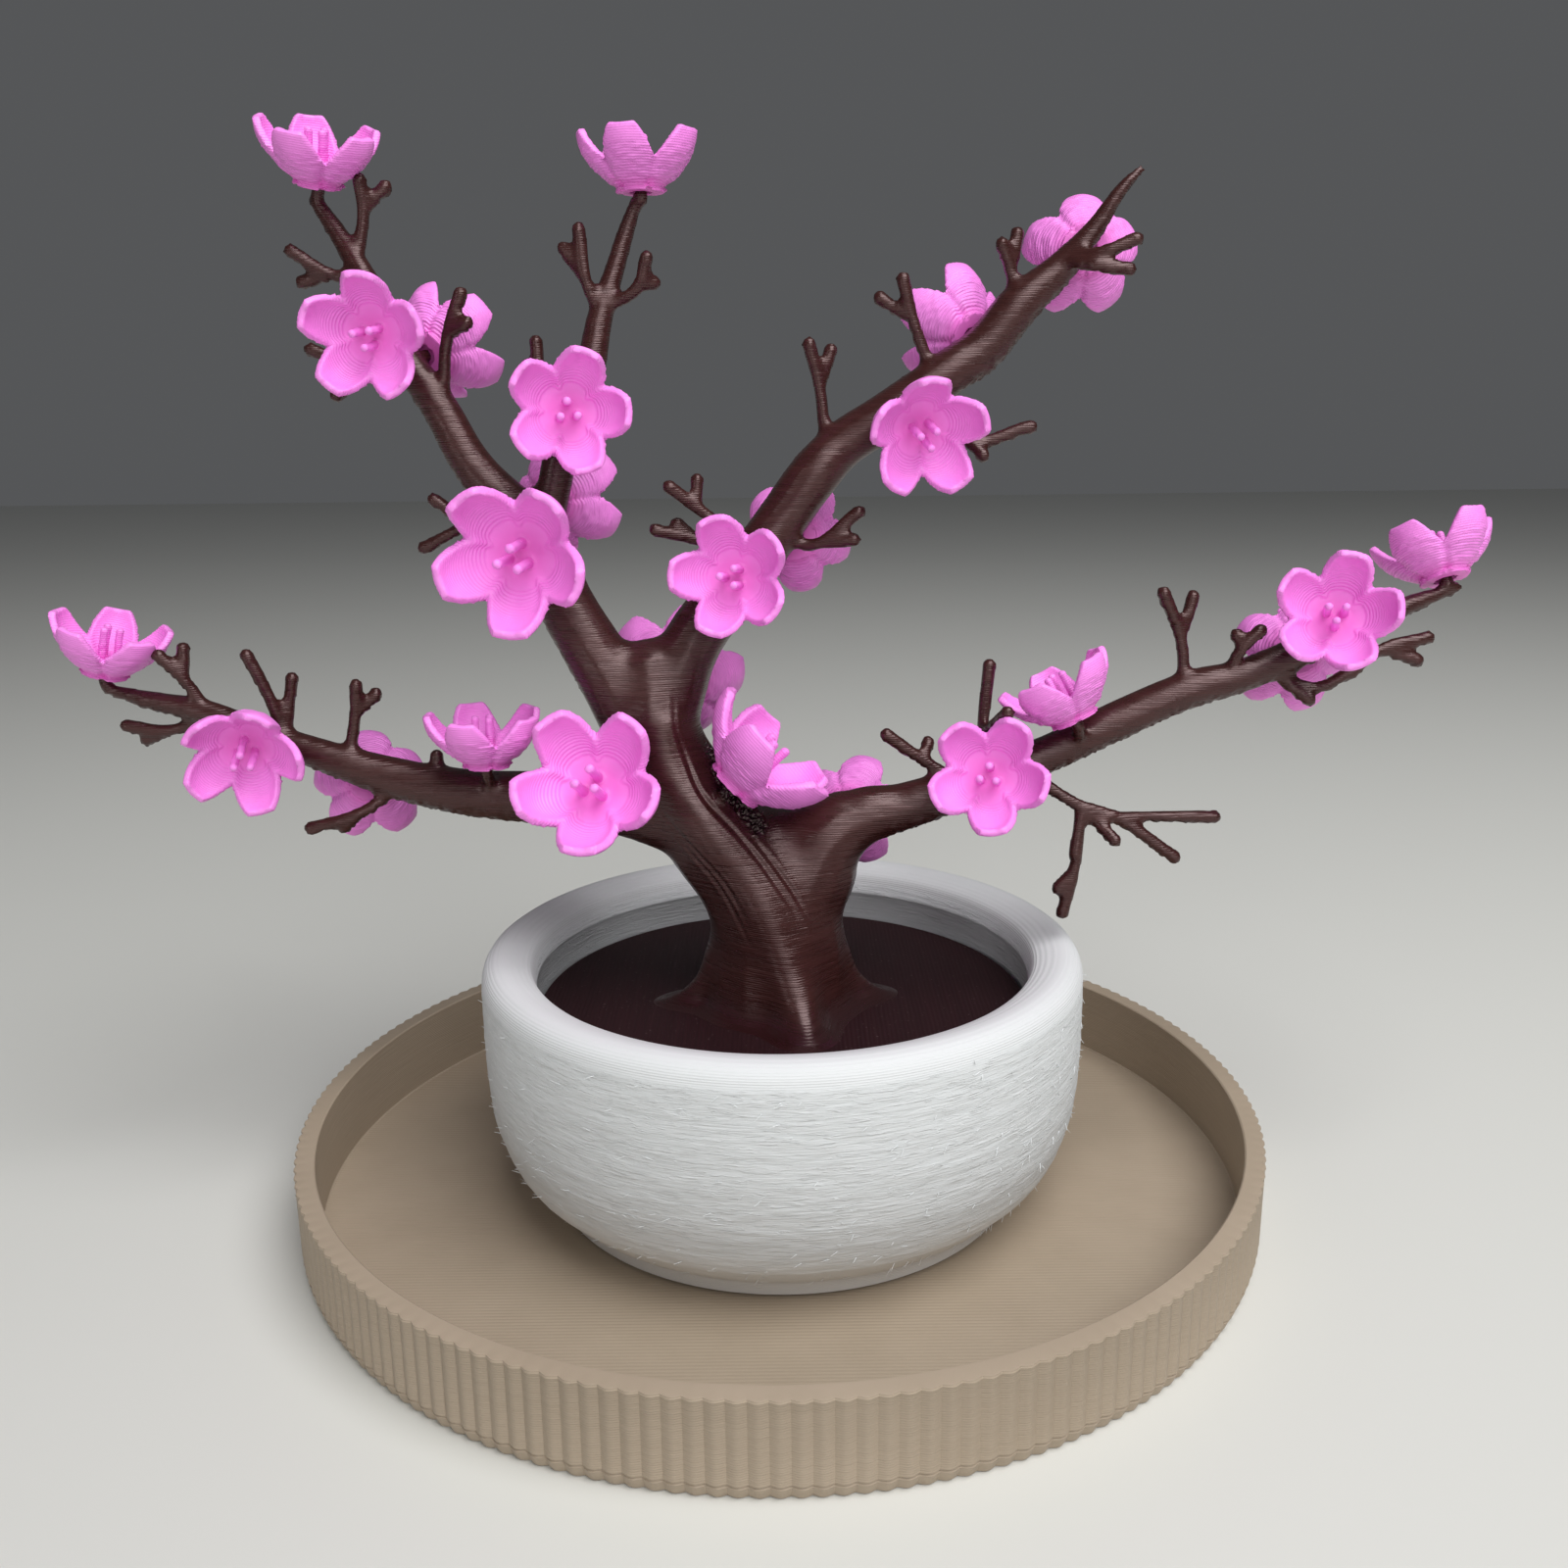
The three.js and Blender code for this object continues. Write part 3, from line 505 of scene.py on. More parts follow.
# Twigs, as x, y, z points: a foot on its branch, a fork, and the one or two tips past it.
TWIGS = [
    [(-37.5, 5, 88.5), (-36.5, 5, 93), (-36.5, 4.5, 95.5), (-34.5, 5.5, 95)],
    [(-37, 4.5, 87.5), (-39.5, 4.5, 87.5), (-43, 4, 89.5), (-42.5, 5, 87)],
    [(-33, 4, 81), (-37.5, 4, 79.5), (-42, 4, 81), (-40, 4, 77)],
    [(-30, 3, 76), (-29, 2, 82), (-27.5, 1.5, 85.5), (-27, 1, 83)],
    [(-15.5, 4, 84), (-16.5, 3.5, 86.5), (-17, 3.5, 91), (-18.5, 4, 89.5)],
    [(-15, 4, 84.5), (-12, 3.5, 86), (-11, 3, 88.5), (-10.5, 4, 86.5)],
    [(-17.5, 2.5, 76.5), (-21, 4, 78.5), (-21.5, 4.5, 81.5), (-22.5, 5, 79.5)],
    [(-23, 2, 67), (-28, 3, 65.5), (-31.5, 3, 67.5), (-33, 4, 63)],
    [(-2, 3, 63), (-7, 2.5, 66.5), (-9.5, 2, 68.5), (-7, 3, 69)],
    [(-2, 3, 62), (-7, 3.5, 63.5), (-11, 3, 64.5), (-9, 4, 65)],
    [(5, 4, 71), (4.5, 4, 77), (3.5, 3.5, 81), (5.5, 4.5, 80.5)],
    [(15, 4.5, 78), (13, 4, 83), (12, 3.5, 86.5), (10, 4.5, 85)],
    [(22.5, 5, 84.5), (22, 5, 87), (21, 4.5, 89.5), (22.5, 5.5, 90.5)],
    [(27, 5, 88.5), (29.5, 2.5, 88.5), (32.5, 2, 89.5)],
    [(26.5, 5, 88), (28.5, 2.5, 87.5), (32, 2, 87)],
    [(15, 4.5, 77), (18, 4, 72.5), (24, 4, 73.5), (19.5, 3, 71)],
    [(1, 3.5, 65), (3, 2.5, 63), (8, 2, 66), (7.5, 1.5, 63.5)],
    [(-54.5, 2, 48), (-56, 1.5, 51), (-58, 1, 53.5), (-56, 2, 54)],
    [(-47, 1.5, 45), (-48, 1, 49.5), (-49.5, 0.5, 53.5)],
    [(-47, 1.5, 45), (-46.5, 2, 48.5), (-46, 2, 51)],
    [(-54, 2, 47.5), (-58.5, 2.5, 46), (-62.5, 2.5, 46.5), (-61, 3, 45)],
    [(-41, 1, 43), (-40, 1, 47.5), (-39.5, 0.5, 50.5), (-38, 1.5, 49.5)],
    [(-36, 1, 41), (-39.5, -0.5, 38.5), (-44.5, -1, 37), (-41.5, -0.5, 37)],
    [(-32, 1, 41), (-32.5, 1, 42.5), (-32.5, 1, 43.5)],
    [(19.5, -1, 41.5), (19.5, -1, 45.5), (20, -1, 52), (21, -6, 48.5)],
    [(18, -1, 40.5), (14, -1, 43), (10.5, -1, 45.5), (14.5, 0, 44.5)],
    [(38.5, 0, 49), (38, 0, 54), (36, -0.5, 58.5), (39, 0.5, 58)],
    [(23.5, -0.5, 42), (29, -1.5, 38.5), (32, -1.5, 37.5), (28.5, -2, 34)],
    [(29, -1.5, 38.5), (32, -1.5, 37.5), (38, -2, 33.5), (42, -0.5, 37)],
    [(29, -1.5, 38.5), (28.5, -2, 32.5), (27.5, -2, 28), (27, -2, 30.5)],
    [(29, -1.5, 38.5), (30, -1.5, 37.5), (32, -3, 35.5)],
    [(42.5, 0, 50.5), (43.5, -1, 53.5), (45, -1, 55), (43, -0.5, 54.5)],
    [(46.5, 0, 51.5), (50.5, -0.5, 49.5), (54, -0.5, 51)],
    [(54, -0.5, 51), (56.5, -0.5, 53), (61, 0, 54), (60, -0.5, 52)],
    [(46.5, 0, 51.5), (48, -0.5, 50), (50, -1, 48.5)],
]

# Blossoms: the middle of the base in millimetres, the direction the cup faces (degrees round from
# +X, then up), the turn about that direction, and the size against the common one.
BLOSSOMS = [
    ((-40.5, 5.5, 95.2), (-58, 70), 11, 1),
    ((-11.5, 5, 94.2), (-93, 89), 46, 1),
    ((-35, 1, 82.2), (-92, -8), 13, 1),
    ((-31.9, 5, 80.4), (65, 20), 0, 1),
    ((-18.3, 0, 75.2), (-80, 1), 70, 1),
    ((-21, 4.5, 67.2), (72, 4), 69, 1),
    ((-22.4, -1.5, 63), (-96, -3), 52, 1.25),
    ((-16.4, -4, 41), (-95, 26), 52, 1.25),
    ((-27, -2.5, 43.3), (-48, 89), 1, 1),
    ((-39.7, 3.5, 40.7), (108, -20), 18, 1),
    ((-49.6, -1, 45.8), (-80, -18), 65, 1),
    ((-64.2, 3, 51.5), (-16, 73), 34, 1),
    ((-3.2, -1, 60.4), (-99, 7), 35, 1),
    ((1.9, 6.5, 63.5), (85, -3), 46, 1),
    ((13.2, 1.5, 73.8), (-80, -16), 20, 1),
    ((19, 7.5, 81.7), (120, 20), 18, 1),
    ((29.1, 7, 89.3), (86, -2), 19, 1),
    ((-3.9, -5, 41.7), (0, 44), 15, 1.25),
    ((-9.8, 5.5, 49.4), (92, 5), 40, 1.25),
    ((7, 3, 37.2), (77, -15), 29, 1),
    ((19.9, -4, 42), (-101, 17), 61, 1),
    ((27.8, -3, 47.1), (162, 62), 56, 1),
    ((49.8, 2.5, 52.5), (81, -15), 32, 1),
    ((51.3, -2, 55.9), (-108, 19), 6, 1),
    ((62.8, 1.5, 59.2), (110, 61), 19, 1),
]


def facing(faces):
    """The direction a blossom's cup opens in."""
    around, up = (math.radians(angle) for angle in faces)
    return Vector((math.cos(up) * math.cos(around), math.cos(up) * math.sin(around), math.sin(up)))


def evaluated(thing):
    """The bmesh that an object comes to with its modifiers. The object itself is removed."""
    bpy.context.scene.collection.objects.link(thing)
    graph = bpy.context.evaluated_depsgraph_get()
    mesh = bpy.data.meshes.new_from_object(thing.evaluated_get(graph))
    bpy.data.objects.remove(thing)
    shape = bmesh.new()
    shape.from_mesh(mesh)
    bpy.data.meshes.remove(mesh)
    return shape


def tubes(limbs):
    """A bmesh of tapering tubes, one along each list of x, y, z and radius in millimetres."""
    wire = bpy.data.curves.new("limbs", "CURVE")
    wire.dimensions = "3D"
    wire.bevel_depth = MM
    wire.bevel_resolution = 4
    wire.resolution_u = 8
    wire.use_fill_caps = True
    for limb in limbs:
        line = wire.splines.new("BEZIER")
        line.bezier_points.add(len(limb) - 1)
        for knot, (x, y, z, radius) in zip(line.bezier_points, limb):
            knot.co = (x * MM, y * MM, z * MM)
            knot.radius = radius
            knot.handle_left_type = knot.handle_right_type = "AUTO"
    return evaluated(bpy.data.objects.new("limbs", wire))


def remeshed(shape, grain):
    """The outer skin of all in the bmesh, joined into one, with faces about as wide as the grain."""
    mesh = bpy.data.meshes.new("parts")
    shape.to_mesh(mesh)
    shape.free()
    whole = bpy.data.objects.new("parts", mesh)
    voxels = whole.modifiers.new("voxels", "REMESH")
    voxels.mode = "VOXEL"
    voxels.voxel_size = grain
    return evaluated(whole)


def relaxed(shape, rounds, share=0.5, hollows_only=False):
    """Draws each point towards its neighbours' middle.

    With hollows_only, forks fill out and nothing shrinks.
    """
    mesh = bpy.data.meshes.new("skin")
    shape.to_mesh(mesh)
    shape.free()
    ends = np.empty(len(mesh.edges) * 2, int)
    mesh.edges.foreach_get("vertices", ends)
    first, second = ends.reshape(-1, 2).T
    places = np.empty(len(mesh.vertices) * 3)
    mesh.vertices.foreach_get("co", places)
    places = places.reshape(-1, 3)
    normals = np.empty(places.size)
    count = len(places)
    neighbours = np.bincount(first, minlength=count) + np.bincount(second, minlength=count)
    for turn in range(rounds):
        sums = [
            np.bincount(first, places[second, axis], count) + np.bincount(second, places[first, axis], count)
            for axis in range(3)
        ]
        pull = np.stack(sums, 1) / neighbours[:, None] - places
        if hollows_only:
            mesh.vertices.foreach_set("co", places.ravel())
            mesh.update()
            mesh.vertex_normals.foreach_get("vector", normals)
            outward = normals.reshape(-1, 3)
            rise = (pull * outward).sum(1)
            pull = np.where(rise > 0, rise, 0)[:, None] * outward
            places = places + pull * share
        else:
            # Every second round pushes back out a little more than the last one drew in.
            places = places + pull * (share if turn % 2 == 0 else -PUSH_BACK * share)
    mesh.vertices.foreach_set("co", places.ravel())
    shape = bmesh.new()
    shape.from_mesh(mesh)
    bpy.data.meshes.remove(mesh)
    return shape


# Each peg starts at the nearest place on a branch's middle line.
branch_points = np.array([
    np.array(start) * (1 - share) + np.array(end) * share
    for line in BRANCHES.values()
    for start, end in zip(line, line[1:])
    for share in np.linspace(0, 1, BRANCH_STEPS)
])[:, :3]
pegs = []
for base, faces, turn, size in BLOSSOMS:
    axis = facing(faces)
    root = branch_points[np.linalg.norm(branch_points - base, axis=1).argmin()]
    neck = Vector(base) - PEG_NECK * axis
    end = Vector(base) + PEG_ENTRY * axis
    pegs.append([(*root, PEG_RADIUS), (*neck, PEG_RADIUS), (*end, PEG_RADIUS)])

twigs = []
for foot, fork, *ends in TWIGS:
    twigs.append([(*foot, STEM), (*fork, FORK), (*ends[0], TIP)])
    if len(ends) > 1:
        twigs.append([(*fork, FORK * SECOND_PRONG), (*ends[1], TIP)])


def column(radius, low, high, steps):
    """A plain upright column that stands under the trunk."""
    shape = spun([(0, low), (radius, low), (radius, high), (0, high)], steps)
    bmesh.ops.translate(shape, verts=shape.verts, vec=TRUNK_FOOT)
    return shape


plug = column(PLUG_RADIUS, soil_low + GAP, SOIL_TOP + MM, PLUG_STEPS)
ground = column(GROUND_RADIUS, soil_low, GROUND_TOP, GROUND_STEPS)

# The forks and roots are rounded out against each other and against the ground, which is cut away
# again. The twigs, pegs and knobs join them after that, so they keep their thickness.
thick = joined([tubes([*BRANCHES.values(), *ROOTS, *WEBS]), ground])
thick = relaxed(remeshed(thick, FORK_GRAIN), FORK_ROUNDS, hollows_only=True)
knobs = bmesh.new()
branch_ends = [line[-1] for name, line in BRANCHES.items() if name != "trunk"]
twig_ends = [(*end, KNOB) for foot, fork, *ends in TWIGS for end in ends]
for x, y, z, radius in branch_ends + twig_ends:
    spot = Matrix.Translation(Vector((x, y, z)) * MM)
    bmesh.ops.create_uvsphere(knobs, u_segments=12, v_segments=8, radius=radius * MM, matrix=spot)
tree = joined([thick, tubes([*BRANCHES.values(), *pegs, *twigs]), knobs])
tree = relaxed(remeshed(tree, TREE_GRAIN), TREE_ROUNDS, hollows_only=True)
tree = relaxed(tree, TREE_SMOOTHING)
bmesh.ops.bisect_plane(
    tree, geom=[*tree.verts, *tree.edges, *tree.faces], plane_co=(0, 0, ROOT_CUT), plane_no=(0, 0, 1),
    clear_inner=True,
)
bmesh.ops.holes_fill(tree, edges=[edge for edge in tree.edges if edge.is_boundary])
tree = joined([tree, plug])
# Undersides are rough, because they were printed over nothing or on a support.
tree.normal_update()
for vert in tree.verts:
    on_a_branch = vert.co.z > CLEAR_OF_SOIL and abs(vert.co.x - TRUNK_MIDDLE) > CLEAR_OF_TRUNK
    if on_a_branch and vert.normal.z < FACING_DOWN:
        ripple = noise.noise(vert.co / SAG_GRAIN)
        vert.co += vert.normal * ripple * SAG_DEPTH * min(1, -SAG_RISE * vert.normal.z)

# Fine grooves run up the front of the trunk, and a scar of small beads marks its right side. Both are
# lists of x and z points. These and the sizes that go with them are in millimetres.
GROOVES = [
    [
        (-9.3, 50.4), (-9.4, 48.5), (-9.1, 46.4), (-8.4, 44.3), (-7.2, 41.2), (-5.9, 39.7), (-3.6, 37.4),
        (-1, 34.1), (0.2, 32.2), (1.5, 30.4), (2.1, 28.6),
    ],
    [(-3.6, 38), (-1.8, 36.4), (0, 34), (1.1, 32.5), (2.2, 30.8), (2.9, 29)],
    [(-10.8, 39.6), (-9.9, 38.2), (-8.2, 36.4), (-6.6, 34.8), (-5, 33.1), (-3.7, 31), (-2.8, 29.3)],
    [(-10.4, 38.5), (-8.8, 36.4), (-7.1, 34.5), (-5.7, 33), (-4.4, 30.8), (-3.7, 29.3), (-2.4, 26.7)],
]
GROOVE_DEPTH = 0.12
GROOVE_WIDTH = 0.2
GROOVE_LIP = 0.06
SCAR = [(-5.9, 45), (-5.4, 42.9), (-4.6, 41.3), (-3.6, 40), (-2.2, 38.3), (-1.6, 37.5)]
SCAR_WIDTH = 0.75
SCAR_DEPTH = 0.42
SCAR_BEAD = 0.36
# The part of the trunk that they cross, and how far it may face to the side.
FRONT_ACROSS = (-14, 5)
FRONT_UP = (25, 52)
FRONT_FACING = 0.2
# Faces nearer than this to a line are split in four, once for each distance.
FINE_BANDS = (1.2, 0.9)


def softened(line, spacing=0.5, rounds=8):
    """A line of x and z points, laid out again in even steps with its corners taken off."""
    line = np.array(line, float)
    along = np.append(0, np.cumsum(np.hypot(*np.diff(line, axis=0).T)))
    even = np.linspace(0, along[-1], round(along[-1] / spacing) + 1)
    line = np.stack([np.interp(even, along, line[:, axis]) for axis in (0, 1)], 1)
    for _ in range(rounds):
        line[1:-1] = (line[:-2] + 2 * line[1:-1] + line[2:]) / 4
    return line


def along_line(line, x, z):
    """How far each place is from a line of x and z points, and how far along it, from 0 to 1."""
    steps = np.diff(line, axis=0)
    lengths = np.hypot(*steps.T)
    gap = np.full(len(x), np.inf)
    along = np.zeros(len(x))
    before = 0
    for start, step, length in zip(line, steps, lengths):
        share = np.clip(((x - start[0]) * step[0] + (z - start[1]) * step[1]) / length**2, 0, 1)
        far = np.hypot(x - start[0] - share * step[0], z - start[1] - share * step[1])
        along = np.where(far < gap, (before + share * length) / lengths.sum(), along)
        gap = np.minimum(far, gap)
        before += length
    return gap, along


def trunk_front(shape):
    """The points on the front of the trunk's middle, and their x and z in millimetres."""
    shape.normal_update()
    left, right = (side * MM for side in FRONT_ACROSS)
    low, high = (side * MM for side in FRONT_UP)
    points = [
        vert for vert in shape.verts
        if left < vert.co.x < right and low < vert.co.z < high
        and vert.co.y < 0 and vert.normal.y < FRONT_FACING
    ]
    x, y, z = np.array([vert.co for vert in points]).T / MM
    return points, x, z


grooves = [softened(line) for line in GROOVES]
scar = softened(SCAR)
for limit in FINE_BANDS:
    front, x, z = trunk_front(tree)
    gap = np.min([along_line(line, x, z)[0] for line in [*grooves, scar]], axis=0)
    near = {vert for vert, far in zip(front, gap) if far < limit}
    fine_edges = [edge for edge in tree.edges if edge.verts[0] in near and edge.verts[1] in near]
    bmesh.ops.subdivide_edges(tree, edges=fine_edges, cuts=1, use_grid_fill=True)
scar_layer = tree.verts.layers.float.new("scar")
front, x, z = trunk_front(tree)
push = np.zeros(len(front))
for line in grooves:
    gap, along = along_line(line, x, z)
    fade = np.sin(math.pi * along)
    push -= fade * GROOVE_DEPTH * np.exp(-((gap / GROOVE_WIDTH) ** 2))
    push += fade * GROOVE_LIP * np.exp(-(((gap - 2 * GROOVE_WIDTH) / GROOVE_WIDTH) ** 2))
gap, along = along_line(scar, x, z)
beads = np.array([noise.noise(vert.co / (SCAR_BEAD * MM)) for vert in front])
scarred = np.exp(-((gap / SCAR_WIDTH) ** 4))
push += SCAR_DEPTH * beads * scarred
for vert, out, share in zip(front, push, scarred):
    vert.co += vert.normal * out * MM
    vert[scar_layer] = share

bark_constants = {"Roughness": 0.28, "IOR": 1.58, "Specular Tint": tone(255, 226, 226)}
bark_finish = Finish("bark_plastic", bark_constants)
bark_up = bark_finish.along("Z")
bark_streaks = bark_finish.stretched((230, 230, 2600), detail=4, roughness=0.6)
bark_fine = bark_finish.stretched((500, 500, 6500), detail=2)
bark_scar = bark_finish.attribute("scar", "Fac")
# The flare is painted darker over the 3 mm above the soil, nearly as dark as the soil: painted shade where
# the trunk meets the soil.
bark_foot_shade = 1 - bark_up.within(SOIL_TOP, SOIL_TOP + 3 * MM)
bark_brown = bark_finish.blend(bark_streaks, tone(38, 15, 14), tone(66, 33, 30))
bark_brown = bark_finish.blend(bark_foot_shade * 0.85, bark_brown, tone(36, 15, 17))
bark_finish.colour(bark_finish.blend(bark_scar * 0.8, bark_brown, tone(16, 11, 13)))
bark_layers = (bark_up * (math.tau / LAYER)).wave()
bark_finish.roughness((0.18 + 0.2 * bark_streaks) * (1 - 0.5 * bark_scar))
bark_finish.relief(bark_streaks * 0.085 * MM + bark_fine * 0.03 * MM + bark_layers * 0.006 * MM)
finished(tree, "tree_moulding", bark_finish, ["tree"], crease=70)

# The blossoms are pink plastic cups, each printed standing on its base, with five rounded petals and
# three stamens. Each is pushed onto its own peg; four are a quarter larger than the rest. Their sizes
# are in millimetres where nothing else is said.
PETAL_COUNT = 5
PETAL_COLUMNS = 12
PETAL_ROWS = 16
CUP_HEIGHT = 5
CUP_NECK = 2.2
NECK_HEIGHT = 0.5
CUP_MOUTH = 5.55
CUP_CURVE = 2.2
BLOSSOM_GRAIN = 0.18 * MM
BLOSSOM_SMOOTHING = 4
BLOSSOM_STEPS = 60
PETAL_WALL = 0.66 * MM
PETAL_CUPPING = 0.5
CREASE_START = 1.6
CREASE_FADE = 0.6
CREASE_HEIGHT = 0.18
CREASE_WIDTH = 0.34
# A wall that faces up or down more than this is the inside or the outside of the cup.
CREASE_FACING = 0.1
# Height on the cup, and half the petal's width there.
PETAL_OUTLINE = [
    (0.6, 1.3), (1, 1.75), (1.4, 2.1), (1.8, 2.3), (2.2, 2.42), (2.8, 2.4), (3.5, 2.2),
    (4.2, 1.87), (4.7, 1.52), (5, 1.2),
]
# Radius and height of the base, from the peg's hole round the heel up to the cup's floor.
BLOSSOM_BASE = [
    (0, 0.8), (1, 0.8), (1, 0), (2.27, 0), (2.3, 0.12), (2.12, 0.3), (2.15, 0.5), (2.6, 0.75), (3.1, 1.1),
    (3.45, 1.4), (3.35, 1.62), (2.9, 1.62), (2.2, 1.48), (1.4, 1.42), (0, 1.4),
]
STAMEN_COUNT = 3
STAMEN_FOOT = 1
STAMEN_HEIGHT = 4.45
STAMEN_RADIUS = 0.36
STAMEN_BALL = 0.4
STAMEN_CIRCLE = 0.85
STAMEN_TURN = 25
# Every blossom is a little bent in its own way, and the outside of its petals is rough low down.
BLOSSOM_SHIFT = 7 * MM
WARP_GRAIN = 2 * MM
WARP_DEPTH = 0.07 * MM
# The bends are drawn from this seed, so they come out the same in every run.
WARP_SEED = 1795487040
RIPPLE_LOW = 0.7 * MM
RIPPLE_HIGH = 3.4 * MM
RIPPLE_LENGTH = 0.9 * MM
RIPPLE_STEP = 0.3 * MM
RIPPLE_DEPTH = 0.12 * MM
RIPPLE_FACING = 0.3
# The petals' rims are sought above this height and further out than this radius.
RIM_LOW = 1.8
RIM_INSIDE = 2.6
SLOPE_STEP = 0.05
NEAR_AXIS = 0.1 * MM


def cup_radius(height):
    """The outside radius of a cup at that height, in millimetres."""
    share = np.clip((height - NECK_HEIGHT) / (CUP_HEIGHT - NECK_HEIGHT), 0, 1)
    return CUP_NECK + (CUP_MOUTH - CUP_NECK) * (1 - (1 - share) ** CUP_CURVE)


def petal():
    """One petal: a grid bent to the cup's outside, narrowed to its outline, and given its wall."""
    shape = bmesh.new()
    bmesh.ops.create_grid(shape, x_segments=PETAL_COLUMNS, y_segments=PETAL_ROWS, size=1)
    low, high = PETAL_OUTLINE[0][0], PETAL_OUTLINE[-1][0]
    for vert in shape.verts:
        aside = vert.co.x
        height = low + (high - low) * (vert.co.y + 1) / 2
        half = np.interp(height, *zip(*PETAL_OUTLINE))
        lift = (height - low) / (high - low)
        radius = cup_radius(height) - PETAL_CUPPING * aside * aside * math.sin(math.pi * lift)
        angle = aside * half / radius
        vert.co = Vector((radius * math.cos(angle), radius * math.sin(angle), height)) * MM
    bmesh.ops.recalc_face_normals(shape, faces=shape.faces)
    # The wall grows inwards, whichever way the faces came out.
    outward = sum(face.normal.dot(face.calc_center_median()) for face in shape.faces)
    bmesh.ops.solidify(shape, geom=shape.faces, thickness=PETAL_WALL if outward > 0 else -PETAL_WALL)
    bmesh.ops.recalc_face_normals(shape, faces=shape.faces)
    return shape


petals = []
for i in range(PETAL_COUNT):
    one = petal()
    turned = Matrix.Rotation(math.tau * i / PETAL_COUNT, 3, "Z")
    bmesh.ops.rotate(one, verts=one.verts, cent=(0, 0, 0), matrix=turned)
    petals.append(one)
blossom = joined([spun(in_metres(BLOSSOM_BASE), BLOSSOM_STEPS), *petals])
for i in range(STAMEN_COUNT):
    around = math.radians(STAMEN_TURN + 360 / STAMEN_COUNT * i)
    spot = Vector((STAMEN_CIRCLE * math.cos(around), STAMEN_CIRCLE * math.sin(around), 0)) * MM
    middle = Matrix.Translation(spot + Vector((0, 0, (STAMEN_HEIGHT + STAMEN_FOOT) / 2 * MM)))
    top = Matrix.Translation(spot + Vector((0, 0, STAMEN_HEIGHT * MM)))
    bmesh.ops.create_cone(
        blossom, cap_ends=True, segments=16, radius1=STAMEN_RADIUS * MM, radius2=STAMEN_RADIUS * MM,
        depth=(STAMEN_HEIGHT - STAMEN_FOOT) * MM, matrix=middle,
    )
    bmesh.ops.create_uvsphere(blossom, u_segments=14, v_segments=9, radius=STAMEN_BALL * MM, matrix=top)
blossom = relaxed(remeshed(blossom, BLOSSOM_GRAIN), BLOSSOM_SMOOTHING)
# Neighbouring petals meet in a ridge inside the cup and in a groove outside.
blossom.normal_update()
for vert in blossom.verts:
    radius = vert.co.xy.length / MM
    share = math.atan2(vert.co.y, vert.co.x) / math.tau * PETAL_COUNT
    gap = radius * abs(share % 1 - 0.5) * math.tau / PETAL_COUNT
    if radius > CREASE_START and abs(vert.normal.z) > CREASE_FACING:
        side = 1 if vert.normal.z > 0 else -1
        fade = min(1, (radius - CREASE_START) / CREASE_FADE)
        ridge = CREASE_HEIGHT * fade * math.exp(-((gap / CREASE_WIDTH) ** 2))
        vert.co += vert.normal * side * ridge * MM

petal_finish = Finish("pink_plastic", {"Roughness": 0.42, "IOR": 1.46})
petal_place = petal_finish.attribute("cup_place", "Vector")
petal_up = petal_finish.node("ShaderNodeSeparateXYZ", inputs={0: petal_place}, output="Z")
petal_out = petal_finish.node("ShaderNodeVectorMath", {"operation": "LENGTH"}, {0: petal_place}, "Value")
petal_rings = (petal_up * (math.tau / LAYER)).wave()
petal_grain = petal_finish.stretched((900, 900, 900), detail=3)
# The middle of the cup is painted a deeper, darker magenta: painted shade and painted inter-reflected light
# deep in the cup among the stamens.
petal_heart_shade = 1 - petal_out.within(1.2 * MM, 3.9 * MM)
petal_pink = petal_finish.blend(petal_grain * 0.5, tone(252, 146, 238), tone(240, 128, 222))
# The petals' rims are painted lighter: a painted highlight.
petal_rim_highlight = petal_finish.attribute("cup_rim", "Fac").within(0.45, 0.9)
petal_pink = petal_finish.blend(petal_rim_highlight * 0.18, petal_pink, tone(255, 168, 246))
petal_finish.colour(petal_finish.blend(petal_heart_shade * 0.55, petal_pink, tone(232, 84, 190)))
petal_steep = petal_up.within(1.4 * MM, 4 * MM)
petal_finish.relief(petal_rings * (0.026 - 0.018 * petal_steep) * MM + petal_grain * 0.025 * MM)

# The finish reads where each point lay on the common blossom, before it was bent and put on its peg.
blossom_mesh = bpy.data.meshes.new("blossom")
blossom.to_mesh(blossom_mesh)
blossom.free()
cup_place = blossom_mesh.attributes.new("cup_place", "FLOAT_VECTOR", "POINT")
blossom_places = np.empty(len(blossom_mesh.vertices) * 3)
blossom_mesh.vertices.foreach_get("co", blossom_places)
cup_place.data.foreach_set("vector", blossom_places)
# It also reads how far each point faces along the petal's wall: 1 on a rim and 0 on the two sides. The
# finish paints a highlight on the rims from it.
blossom_normals = np.empty(blossom_places.size)
blossom_mesh.vertex_normals.foreach_get("vector", blossom_normals)
blossom_normals = blossom_normals.reshape(-1, 3)
blossom_places = blossom_places.reshape(-1, 3)
cup_heights = blossom_places[:, 2] / MM
cup_slopes = (cup_radius(cup_heights + SLOPE_STEP) - cup_radius(cup_heights - SLOPE_STEP)) / (2 * SLOPE_STEP)
cup_radii = np.hypot(blossom_places[:, 0], blossom_places[:, 1])
outward_share = (blossom_normals[:, :2] * blossom_places[:, :2]).sum(1) / np.maximum(cup_radii, NEAR_AXIS)
across_wall = (outward_share - cup_slopes * blossom_normals[:, 2]) / np.hypot(1, cup_slopes)
on_petals = (cup_heights > RIM_LOW) & (cup_radii > RIM_INSIDE * MM)
rim_share = np.where(on_petals, 1 - np.abs(across_wall), 0)
cup_rim = blossom_mesh.attributes.new("cup_rim", "FLOAT", "POINT")
cup_rim.data.foreach_set("value", rim_share)
noise.seed_set(WARP_SEED)
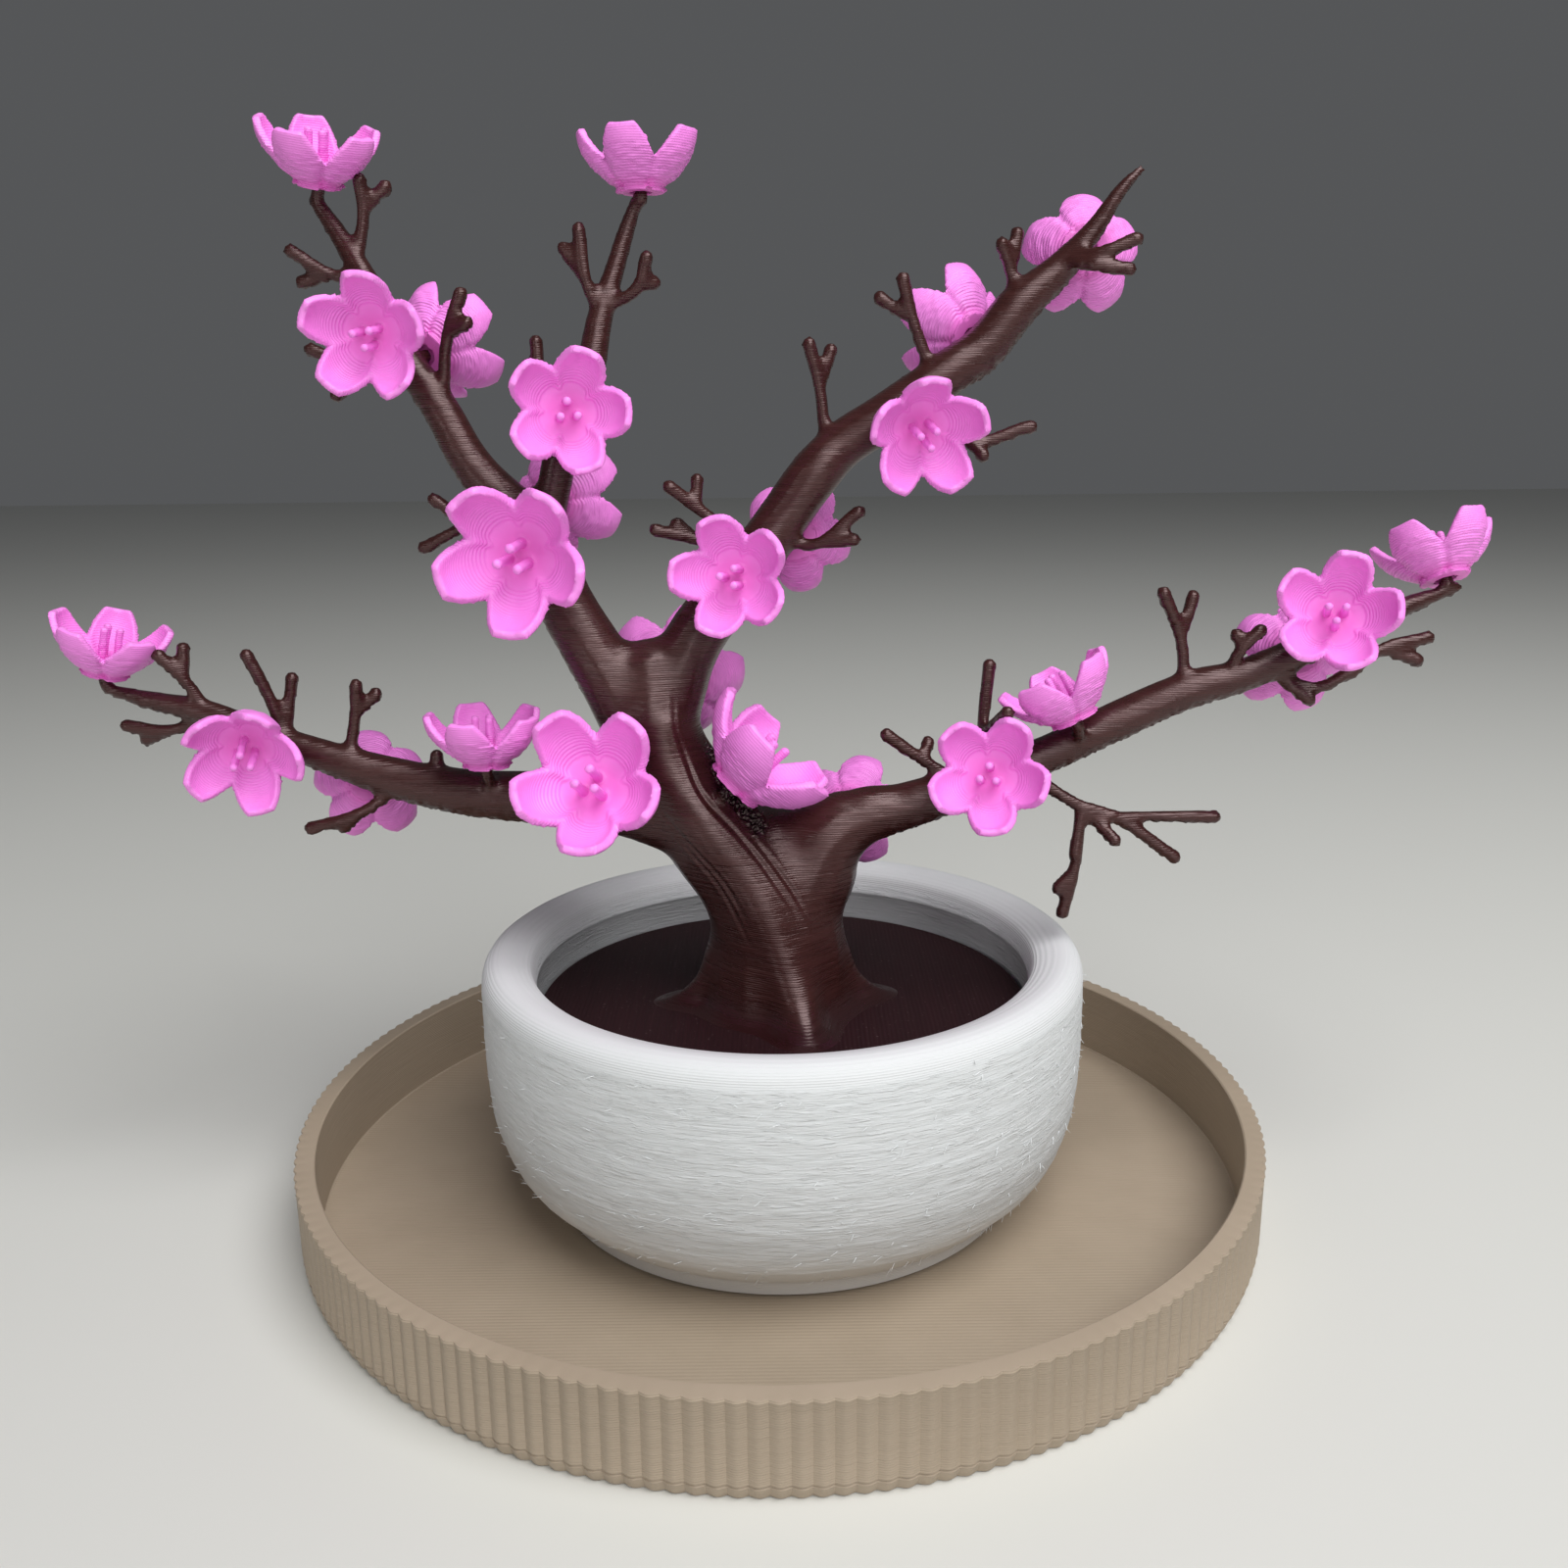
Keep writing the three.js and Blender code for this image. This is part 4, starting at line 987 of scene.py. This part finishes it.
for i, (base, faces, turn, size) in enumerate(BLOSSOMS, 1):
    axis = facing(faces)
    across = Vector((0, 0, 1)).cross(axis).normalized()
    basis = Matrix((across, axis.cross(across), axis)).transposed()
    copy = bmesh.new()
    copy.from_mesh(blossom_mesh)
    bmesh.ops.scale(copy, verts=copy.verts, vec=(size,) * 3)
    copy.normal_update()
    for vert in copy.verts:
        place = vert.co + Vector((BLOSSOM_SHIFT * i, 0, 0))
        vert.co += noise.noise_vector(place / WARP_GRAIN) * WARP_DEPTH
        out = vert.normal.dot(Vector((vert.co.x, vert.co.y, 0)).normalized())
        if out > RIPPLE_FACING and RIPPLE_LOW < vert.co.z < RIPPLE_HIGH:
            across_ripples = (place.x / RIPPLE_LENGTH, place.y / RIPPLE_LENGTH, place.z / RIPPLE_STEP)
            vert.co += vert.normal * noise.noise(Vector(across_ripples)) * RIPPLE_DEPTH
    turned = Matrix.Rotation(math.radians(turn), 3, "Z")
    bmesh.ops.rotate(copy, verts=copy.verts, cent=(0, 0, 0), matrix=turned)
    bmesh.ops.rotate(copy, verts=copy.verts, cent=(0, 0, 0), matrix=basis)
    bmesh.ops.translate(copy, verts=copy.verts, vec=Vector(base) * MM)
    finished(copy, f"blossom_cup_{i:02d}", petal_finish, [f"blossom_{i:02d}"], crease=60)
bpy.data.meshes.remove(blossom_mesh)

# The table is a plain pale flat sheet that the tray stands on. It isn't part of the object.
TABLE_HALF = 1.4
sheet = bmesh.new()
bmesh.ops.create_grid(sheet, x_segments=1, y_segments=1, size=TABLE_HALF)
table_mesh = bpy.data.meshes.new("table")
sheet.to_mesh(table_mesh)
sheet.free()
table_finish = Finish("table", {"Roughness": 0.6, "Base Color": tone(217, 217, 212)})
table_mesh.materials.append(table_finish.material)
table = bpy.data.objects.new("table", table_mesh)
bpy.context.scene.collection.objects.link(table)

# Soft light comes from a wide panel above the right of the front, a weaker one low in front, a small
# one from the left, and a pale room. Each is a name, a place, a width in metres and a power in watts.
LIGHT_AIM = Vector((0, 0, 0.04))
ROOM_STRENGTH = 0.2
LIGHTS = [
    ("panel_above", (0.17, -0.22, 0.5), 0.5, 3.3),
    ("panel_front", (0.08, -0.6, 0.28), 0.5, 1.1),
    ("panel_left", (-0.4, -0.5, 0.17), 0.22, 0.32),
]
for name, spot, width, power in LIGHTS:
    lamp = bpy.data.lights.new(name, "AREA")
    lamp.shape = "DISK"
    lamp.size = width
    lamp.energy = power
    light = bpy.data.objects.new(name, lamp)
    light.location = spot
    light.rotation_euler = (LIGHT_AIM - Vector(spot)).to_track_quat("-Z", "Y").to_euler()
    bpy.context.scene.collection.objects.link(light)
room = bpy.data.worlds.new("room")
room.use_nodes = True
backdrop = room.node_tree.nodes["Background"]
backdrop.inputs["Color"].default_value = tone(180, 182, 185)
backdrop.inputs["Strength"].default_value = ROOM_STRENGTH
bpy.context.scene.world = room
bpy.context.scene.view_settings.view_transform = "Standard"

# The camera stands close in front, at the height of the upper branches, and looks slightly down. Its
# angles are in radians and its focal length is in millimetres.
CAMERA_PLACE = Vector((0.77, -130.1, 73.8)) * MM
CAMERA_PITCH = 0.2498
CAMERA_ROLL = -0.0112
FOCAL_LENGTH = 32.2
NEAREST = 0.01
lens = bpy.data.cameras.new("camera")
lens.lens = FOCAL_LENGTH
lens.clip_start = NEAREST
camera = bpy.data.objects.new("camera", lens)
camera.matrix_world = (
    Matrix.Translation(CAMERA_PLACE)
    @ Matrix.Rotation(math.pi / 2 - CAMERA_PITCH, 4, "X")
    @ Matrix.Rotation(CAMERA_ROLL, 4, "Z")
)
bpy.context.scene.collection.objects.link(camera)
bpy.context.scene.camera = camera
